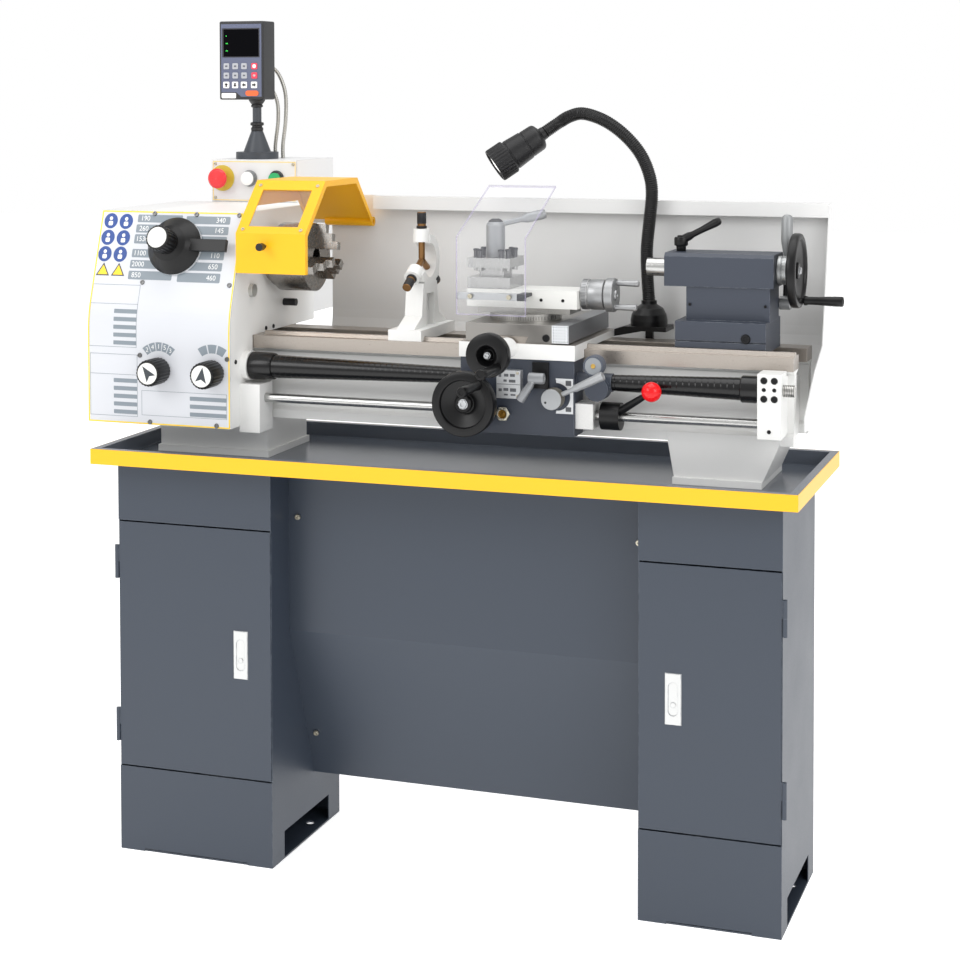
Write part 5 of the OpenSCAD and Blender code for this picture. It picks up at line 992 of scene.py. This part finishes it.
def handwheel(name, centre, axis, radius, width, ring, hub, nut, shaft, grip_at, grip_end, core, body, node,
              extra=()):
    """A moulded handwheel with a flat ring, a dished web and a turning grip; sizes in millimetres."""
    inner = radius - ring
    dish = [(0, -shaft), (core, -shaft), (core, 0.10 * width), (inner - 3, 0.10 * width), (inner, 0),
            (radius - 3.6, 0), (radius - 1, 1.4), (radius, 4.2), (radius, width - 4.2),
            (radius - 1, width - 1.4), (radius - 3.6, width), (inner + 1.6, width), (inner, width - 1.2),
            (inner - 1.4, 0.74 * width), (hub + 2, 0.36 * width), (hub, 0.40 * width), (hub, 0.70 * width),
            (hub - 1.6, 0.78 * width), (nut + 1, 0.78 * width), (0, 0.74 * width)]
    bolt = [(0, 0.70 * width), (nut, 0.70 * width), (nut, 0.94 * width), (nut * 0.86, 0.99 * width),
            (nut * 0.5, 0.99 * width), (nut * 0.46, 0.86 * width), (0, 0.86 * width)]
    start = 0.5 * width
    grip = [(0, start), (5.2, start), (5.2, width + 1), (8.2, width + 1.6), (8.4, width + 5),
            (7.0, width + 9), (7.2, width + 26), (8.9, grip_end - 16), (8.9, grip_end - 2.4),
            (8.0, grip_end - 0.6), (5.6, grip_end), (4.6, grip_end - 0.2), (4.3, grip_end - 1.6),
            (0, grip_end - 1.6)]
    nut_area = [(lambda f: f.off(centre, axis) < (nut + 0.4) / 1000, screen(188, 190, 192), 0.28,
                 0.95)] + list(extra)
    finish = coat(name + "_black", screen(9, 9, 10), 0.34, vary=0.12, grain=0.0009, bump=0.08, shine=0.3,
                  areas=nut_area)
    shapes = [(centre, axis, dish, 72), (centre, axis, bolt, 6), (grip_at, axis, grip, 40)]
    return turned(name, shapes, finish, body, "black_plastic", [node])


silver_hub = [(lambda f: (f.off((0.061, 0, 0.869), to_front) < 0.013) * (f.y > -0.152),
               screen(150, 152, 154), 0.36, 0.8)]
handwheel("carriage_wheel", (0.061, -0.151, 0.869), to_front, 57, 24, 15, 15, 8.5, 40,
          (0.0899, -0.151, 0.9035), 108, 11, "carriage_handwheel", "carriage_handwheel", silver_hub)
handwheel("cross_wheel", (0.124, -0.2063, 0.963), to_front, 38, 22, 20, 8, 5.5, 0.4,
          (0.1424, -0.2063, 0.9433), 107, 12, "cross_handwheel", "cross_handwheel")
satin = coat("satin_metal", screen(142, 144, 147), 0.46, metal=0.45, vary=0.06, grain=0.0009, bump=0.12,
             wear=screen(226, 226, 224))


def lever_bar(place, tip, thin, thick, share):
    """The arm of a cast lever: a thin root, a cone and a straight grip with a flat, cupped end."""
    length = (Vector(tip) - Vector(place)).length * 1000
    way = tuple((Vector(tip) - Vector(place)).normalized())
    return (place, way, [(0, 0), (thin, 0), (thin, share * length),
                         (thin + 0.55 * (thick - thin), share * length + 5), (thick, length - 4),
                         (thick, length - 0.9), (thick - 0.9, length), (thick - 2, length),
                         (thick - 2.6, length - 0.8), (0, length - 0.8)], 32)


turned("feed_lever_cast", [
    ((0.184, -0.111, 0.913), to_front, [(0, 0.3), (7.6, 0.3), (7.6, 20), (0, 20)]),
    ((0.170, -0.136, 0.915), to_right,
     [(0, 0), (8.2, 0), (9.6, 1.2), (9.6, 26), (8.6, 27.6), (5.2, 27.8), (4.6, 26.4), (0, 26.4)]),
    lever_bar((0.181, -0.139, 0.914), (0.155, -0.141, 0.876), 4.4, 7.9, 0.16),
], satin, "feed_lever", "bright_metal", ["feed_lever"])
rounded_box("feed_lever_block", (0.184, -0.1125, 0.917), (0.030, 0.006, 0.046), 0.0012, 2, black_steel,
            "carriage")
halfnut_at = (0.213, -0.111, 0.881)
halfnut_areas = [(lambda f: (f.off(halfnut_at, to_front) < 0.0195) * (f.y > -0.1455), screen(110, 107, 98),
                  0.5, 0.6),
                 (lambda f: f.off((0.203, 0, 0.8755), to_front) < 0.0021, screen(14, 14, 15), 0.5, 0.0)]
turned("halfnut_lever_cast", [
    (halfnut_at, to_front, [(0, 0.3), (9, 0.3), (9, 13), (18.6, 13.6), (18.6, 33.4), (17.8, 35.6),
                            (16.8, 36), (0, 36)], 64),
    lever_bar((0.2255, -0.136, 0.8872), (0.303, -0.136, 0.925), 4.2, 7.9, 0.30),
], coat("halfnut_metal", screen(158, 160, 162), 0.46, metal=0.45, vary=0.06, grain=0.0009, bump=0.12,
        areas=halfnut_areas),
    "halfnut_lever", "bright_metal", ["halfnut_lever"])
ball_at = (0.387, -0.134, 0.901)
ball = [(lambda f: f.vector("LENGTH", f.vector("SUBTRACT", f.place, ball_at), (0, 0, 0), "Value") < 0.0176,
         screen(226, 20, 26), 0.16, 0.0)]
dress(coat("start_lever_black", screen(12, 12, 13), 0.38, grain=0.001, areas=ball, shine=0.35),
      "start_lever")


# Cross slide and top slide: ground castings on dovetails, the swivel ring graduated between them.
# The scale of the readout runs in an alloy housing along the right side, closed by a dotted cap.
slide_finish = coat("slide_steel", screen(150, 147, 143), 0.32, metal=0.85, vary=0.08, grain=0.001,
                    streak=(0.12, 1, 1))
dress(slide_finish, "cross_slide")
ring_marks = [(lambda f: (f.z > 1.006) * (f.z < 1.0125) * (f.off((0.124, -0.010, 0), upwards) > 0.0625)
               * (f.x.cycle(0.0042) < 0.16), screen(40, 40, 42), 0.5, 0.2)]
dress(coat("swivel_steel", screen(168, 166, 162), 0.3, metal=0.9, vary=0.06, grain=0.001, areas=ring_marks),
      "swivel_base")
cap_dots = [(lambda f: f.y < -0.1084, screen(226, 228, 230), 0.4, 0.1),
            (lambda f: (f.y < -0.1084) * (f.x.cycle(0.0050) < 0.5) * (f.z.cycle(0.0050) < 0.5),
             screen(104, 110, 118), 0.45, 0.1)]
dress(coat("scale_alloy", screen(150, 152, 156), 0.38, metal=0.8, vary=0.04, grain=0.001,
           streak=(1, 0.1, 1), areas=cap_dots), "scale_housing")
heads("gib_screws", [((0.1925, -0.109, 0.9815), to_front)], black_steel, "cross_slide",
      0.0068, 0.003, 4, 0.3)
strip_look = [(lambda f: f.y < -0.0512, screen(188, 190, 192), 0.34, 0.8),
              (lambda f: (f.y < -0.0512) * (f.x > 0.132), screen(60, 62, 66), 0.4, 0.4),
              (lambda f: f.z > 1.0583, steel, 0.3, 0.9)]
dress(coat("top_slide_casting", screen(226, 226, 222), 0.38, vary=0.03, grain=0.002, bump=0.14,
           areas=strip_look), "top_slide")
side_holes = [((x, -0.050, 1.041), to_front) for x in (0.045, 0.085, 0.125, 0.165, 0.205)]
heads("gib_set_screws", side_holes, black_steel, "top_slide", 0.0030, 0.0008, 6, 0.6)
crank_at = (0.2313, -0.010, 1.050)
bands = [(lambda f: (f.x > 0.2335) * (f.x < 0.2415) * (f.off(crank_at, to_right) > 0.0262)
          * (f.z.cycle(0.0026) < 0.22), screen(40, 40, 42), 0.5, 0.2)]
grips = []
for side in (-1, 1):
    spot = (0.2903, -0.010 + side * 0.022 * math.cos(math.radians(70)),
            1.050 + side * 0.022 * math.sin(math.radians(70)))
    grips.append((spot, to_right, [(0, -1), (4.0, -1), (4.0, 1), (5.2, 2), (4.9, 8), (5.9, 34), (5.9, 38.4),
                                   (5.0, 40), (0, 40)], 28))
drum = [(0, -38), (6, -38), (6, 0), (26.2, 0), (27, 0.9), (27, 11.5), (26.2, 12.2), (25.2, 12.4),
        (25.2, 14.4), (26.6, 15), (27, 16), (27, 30), (27, 40), (26.2, 41), (24.6, 41.4), (24, 42),
        (24, 43.6), (29, 43.8), (30, 45), (30, 57.6), (28.8, 59), (11, 59), (10, 58), (9, 61.5), (4.5, 62),
        (4, 60), (0, 60)]
crank_metal = coat("crank_metal", screen(158, 159, 160), 0.38, metal=0.85, vary=0.06, grain=0.0008,
                   wear=screen(230, 230, 228), areas=bands)
turned("crank_turned", [(crank_at, to_right, drum, 72)] + grips, crank_metal, "top_slide_crank",
       "bright_metal", ["top_slide_crank"])


# Tool post: a ground four-way block with socket screws, clamped by a cast lever on a tapered hub.
# The block's top is darker than its ground sides.
post_top = [(lambda f: f.z > 1.1123, screen(92, 92, 94), 0.34, 0.8)]
dress(coat("post_steel", screen(186, 186, 184), 0.26, metal=0.9, vary=0.06, grain=0.0008,
           streak=(1, 1, 0.1), areas=post_top), "tool_post")
post_x, post_y = 0.067, -0.010
screw_steps = ((0.03, 0.02), (0.03, -0.02), (-0.03, 0.02), (-0.03, -0.02), (0.02, 0.03), (-0.02, 0.03),
               (0.02, -0.03), (-0.02, -0.03))
post_spots = [((post_x + x, post_y + y, 1.1242), upwards) for x, y in screw_steps]
socket_grey = coat("socket_grey", screen(52, 53, 56), 0.36, metal=0.6)
heads("post_screw_heads", post_spots, socket_grey, "tool_post", 0.0056, 0.0036, 6, 0.55)
hub_cap = [(lambda f: (f.z > 1.1735) * (f.off((post_x, post_y, 0), upwards) < 0.0135),
            screen(40, 40, 42), 0.4, 0.3)]
dress(coat("post_lever_metal", screen(150, 152, 154), 0.44, metal=0.5, vary=0.06, grain=0.0009, bump=0.12,
           areas=hub_cap, wear=screen(230, 230, 228)), "tool_post_lever")


# Chip shield: a bent sheet of clear plastic screwed to a strip at the front of the top slide.
# Its cut edges are painted pale violet and less clear: the plastic's tint seen edge-on, with a painted
# highlight of the light they catch.
# The edge mask paints a highlight of light caught in the cut edges, over the plastic's edge-on tint.
shield_edges = (lambda f: (f.x < 0.0214).most(f.x > 0.1476).most(f.z < 1.0164).most(f.y > 0.0895))
dress(see_through("shield_pane", screen(238, 240, 248), 0.05, screen(186, 178, 208), shield_edges),
      "chip_shield")
heads("shield_screws", [((x, -0.090, 1.048), to_front) for x in (0.046, 0.118)], zinc, "top_slide",
      0.0046, 0.0024, 6, 0.5)


# Lamp: a flexible steel neck wound from black strip on a cast foot, with a moulded head and a bright lens.
# The ribs are the strip's turns; the head is black plastic with a ribbed rim.
neck_black = coat("neck_black", screen(12, 12, 13), 0.32, grain=0.001, bump=0.1, shine=0.4)
dress(neck_black, "lamp_gooseneck")
neck_marks = [(0, 0, 50), (-4, 0, 112), (-4, 0, 154), (0, 0, 195), (5, 0, 249), (0, 0, 285), (-17, 0, 323),
              (-47, 0, 357), (-85, 2, 383), (-127, 8, 396), (-156, 16, 391), (-180, 25, 379),
              (-204, 13, 361)]
neck_line = smooth_route([((309 + x) / 1000, (152 + y) / 1000, (971 + z) / 1000) for x, y, z in neck_marks],
                         0.0034)


def hoops(name, line, radius, thickness, finish, body):
    """Rings along a line, one for each turn of a wound tube."""
    tree, sockets, given, instance = placed_tree(name, {"Ring Radius": "Float", "Strip Radius": "Float"},
                                                 finish)
    ring = tree.nodes.new("GeometryNodeCurvePrimitiveCircle")
    ring.inputs["Resolution"].default_value = 28
    strip = tree.nodes.new("GeometryNodeCurvePrimitiveCircle")
    strip.inputs["Resolution"].default_value = 6
    sweep = tree.nodes.new("GeometryNodeCurveToMesh")
    for start, end in (
        (given.outputs["Ring Radius"], ring.inputs["Radius"]),
        (given.outputs["Strip Radius"], strip.inputs["Radius"]),
        (ring.outputs[0], sweep.inputs["Curve"]),
        (strip.outputs[0], sweep.inputs["Profile Curve"]),
        (sweep.outputs[0], instance),
    ):
        tree.links.new(start, end)
    spots = [(line[i], line[i + 1] - line[i - 1]) for i in range(1, len(line) - 1)]
    values = {sockets["Ring Radius"]: radius, sockets["Strip Radius"]: thickness}
    return grown(name, tree, spots, values, finish, body)


hoops("neck_ribs", neck_line, 0.0106, 0.0014, neck_black, "carriage")
head_back, head_way = (0.105, 0.165, 1.332), (-85, -43, -63)
shade = [(0, 0.6), (12, 0.6), (12.6, 8), (22, 12), (25, 15), (26, 19), (26.6, 40), (25.8, 41), (25.8, 42.4),
         (27.4, 43.2), (29.6, 76), (28.8, 77), (28.8, 78.6), (30, 79.4), (30, 80)]
rim_ring = [(20, 80), (31.4, 80), (33, 82), (33, 111), (32, 113.6), (29.6, 114.2), (28.8, 111), (28.2, 107),
            (20, 107)]
turned("lamp_head_moulded", [(head_back, head_way, shade + [(0, 80)], 64),
                             (head_back, head_way, rim_ring + [(20, 80)], 144, 36, 0.0008)],
       coat("lamp_black", screen(18, 18, 20), 0.40, grain=0.001, shine=0.4), "carriage", "black_metal",
       ["lamp_head"])
lens_glow = coat("lens_bright", screen(250, 250, 246), 0.2, vary=0.02, grain=0.003, bump=0.2)
glow(lens_glow, (1.0, 0.98, 0.94, 1.0), 1.0)
lens_profile = [(0, 107.4), (27.6, 107.4), (27.6, 108.6), (22, 110.6), (12, 112), (0, 112.6)]
turned("lamp_lens", [(head_back, head_way, lens_profile, 56)], lens_glow, "carriage", "clear_plastic")


# Steady: a white casting on the ways with three bronze fingers, each set by a knurled black screw.
# The screws' heads are turned and stand round the spindle's axis.
dress(white_casting, "steady_frame")
dress(coat("finger_bronze", screen(140, 104, 66), 0.3, metal=0.95, vary=0.08, grain=0.001), "steady_fingers")
knobs, knob_centre = [], (-0.093, 0.036, 1.098)
knob_profile = [(0, 58.6), (9.6, 58.6), (9.6, 63), (6.8, 63.6), (6.8, 66), (8.2, 67), (8.5, 68), (8.5, 87),
                (7.6, 88.6), (6, 89), (0, 88.4)]
for angle in (90, 210, 330):
    way = (0, math.cos(math.radians(angle)), math.sin(math.radians(angle)))
    knobs.append((knob_centre, way, knob_profile, 96, 24, 0.0005))
knurled_black = coat("knurled_black", screen(36, 36, 38), 0.36, metal=0.4, grain=0.0007)
turned("steady_knobs", knobs, knurled_black, "steady", "black_metal")


# Tailstock: dark casting on a split base, with a ground quill, clamp levers and a dished handwheel.
# The handwheel's collar is a turned dial with fine divisions.
dress(coat("tailstock_casting", dark, 0.44, vary=0.06, grain=0.0022, bump=0.2, wear=dark_pale), "tailstock")
heads("tail_clamp_screw", [((0.5262, -0.030, 0.9835), to_front)], black_steel, "tailstock",
      0.0086, 0.0026, 6, 0.5)
heads("tail_set_screws", [((x, -0.008, 1.038), to_front) for x in (0.423, 0.5556)], black_steel,
      "tailstock", 0.0026, 0.0006, 6, 0.5)
dress(ground, "quill")
lock_at, lock_root = (0.397, 0.036, 1.1273), (0.399, 0.036, 1.147)
turned("quill_lock_cast", [
    (lock_at, upwards, [(0, 0), (8.2, 0), (8.6, 0.8), (8.6, 8.6), (11.6, 9.6), (12.2, 11), (12.2, 22),
                        (11, 24.4), (7, 24.8), (6.4, 27.6), (0, 28)]),
    (lock_root, (69, 0, 36), [(0, 0), (7.6, 0), (7.4, 14), (5.6, 22), (5.8, 40), (7.4, 66), (6.8, 74),
                              (4, 77.4), (0, 77.8)], 28),
], knob_black, "quill_lock_lever", "black_plastic", ["quill_lock_lever"])
dial_silver = [(lambda f: (f.x < 0.5905) * (f.off(spindle_at, to_right) > 0.012),
                screen(170, 172, 172), 0.36, 0.85),
               (lambda f: (f.x > 0.5790) * (f.x < 0.5850) * (f.z.cycle(0.0024) < 0.24), screen(50, 50, 52),
                0.5, 0.3)]
handwheel("tail_wheel", (0.594, 0.036, 1.098), to_right, 65, 16, 11, 14, 7, 3, (0.594, 0.0555, 1.0444), 86,
          12, "tailstock_handwheel", "tailstock_handwheel", dial_silver)
dial_profile = [(0, 0), (24.2, 0), (25, 0.8), (25, 6.6), (24, 7.2), (24, 8.2), (25, 8.8), (25, 15.8),
                (24, 17), (14, 17), (13, 18), (13, 23.7), (0, 23.7)]
dial_metal = coat("tail_dial_metal", screen(172, 174, 174), 0.36, metal=0.85, vary=0.05, grain=0.0008,
                  areas=dial_silver[1:])
turned("tail_dial", [((0.5703, 0.036, 1.098), to_right, dial_profile, 64)], dial_metal,
       "tailstock_handwheel", "bright_metal", ["tailstock_handwheel"])
lean_back = (0, math.sin(math.radians(6)), math.cos(math.radians(6)))
clamp_root = (0.5733, 0.084, 1.036)
rod_black = [(lambda f: (f.z > 1.049) * (f.z < 1.112), screen(32, 32, 34), 0.4, 0.3)]
clamp_metal = coat("clamp_metal", screen(150, 152, 153), 0.46, metal=0.5, vary=0.07, grain=0.0009, bump=0.14,
                   areas=rod_black)
turned("tail_clamp_cast", [
    ((0.5633, 0.084, 1.036), to_right, [(0, 0), (11.4, 0), (12, 0.8), (12, 19), (11, 20), (0, 20)]),
    (clamp_root, lean_back, [(0, 0), (4.6, 0), (4.6, 76), (5.4, 84), (9.4, 104), (10.2, 110), (10.2, 147),
                             (8.6, 152.4), (5, 155.4), (0, 156)], 36),
], clamp_metal, "tailstock_clamp_lever", "bright_metal", ["tailstock_clamp_lever"])
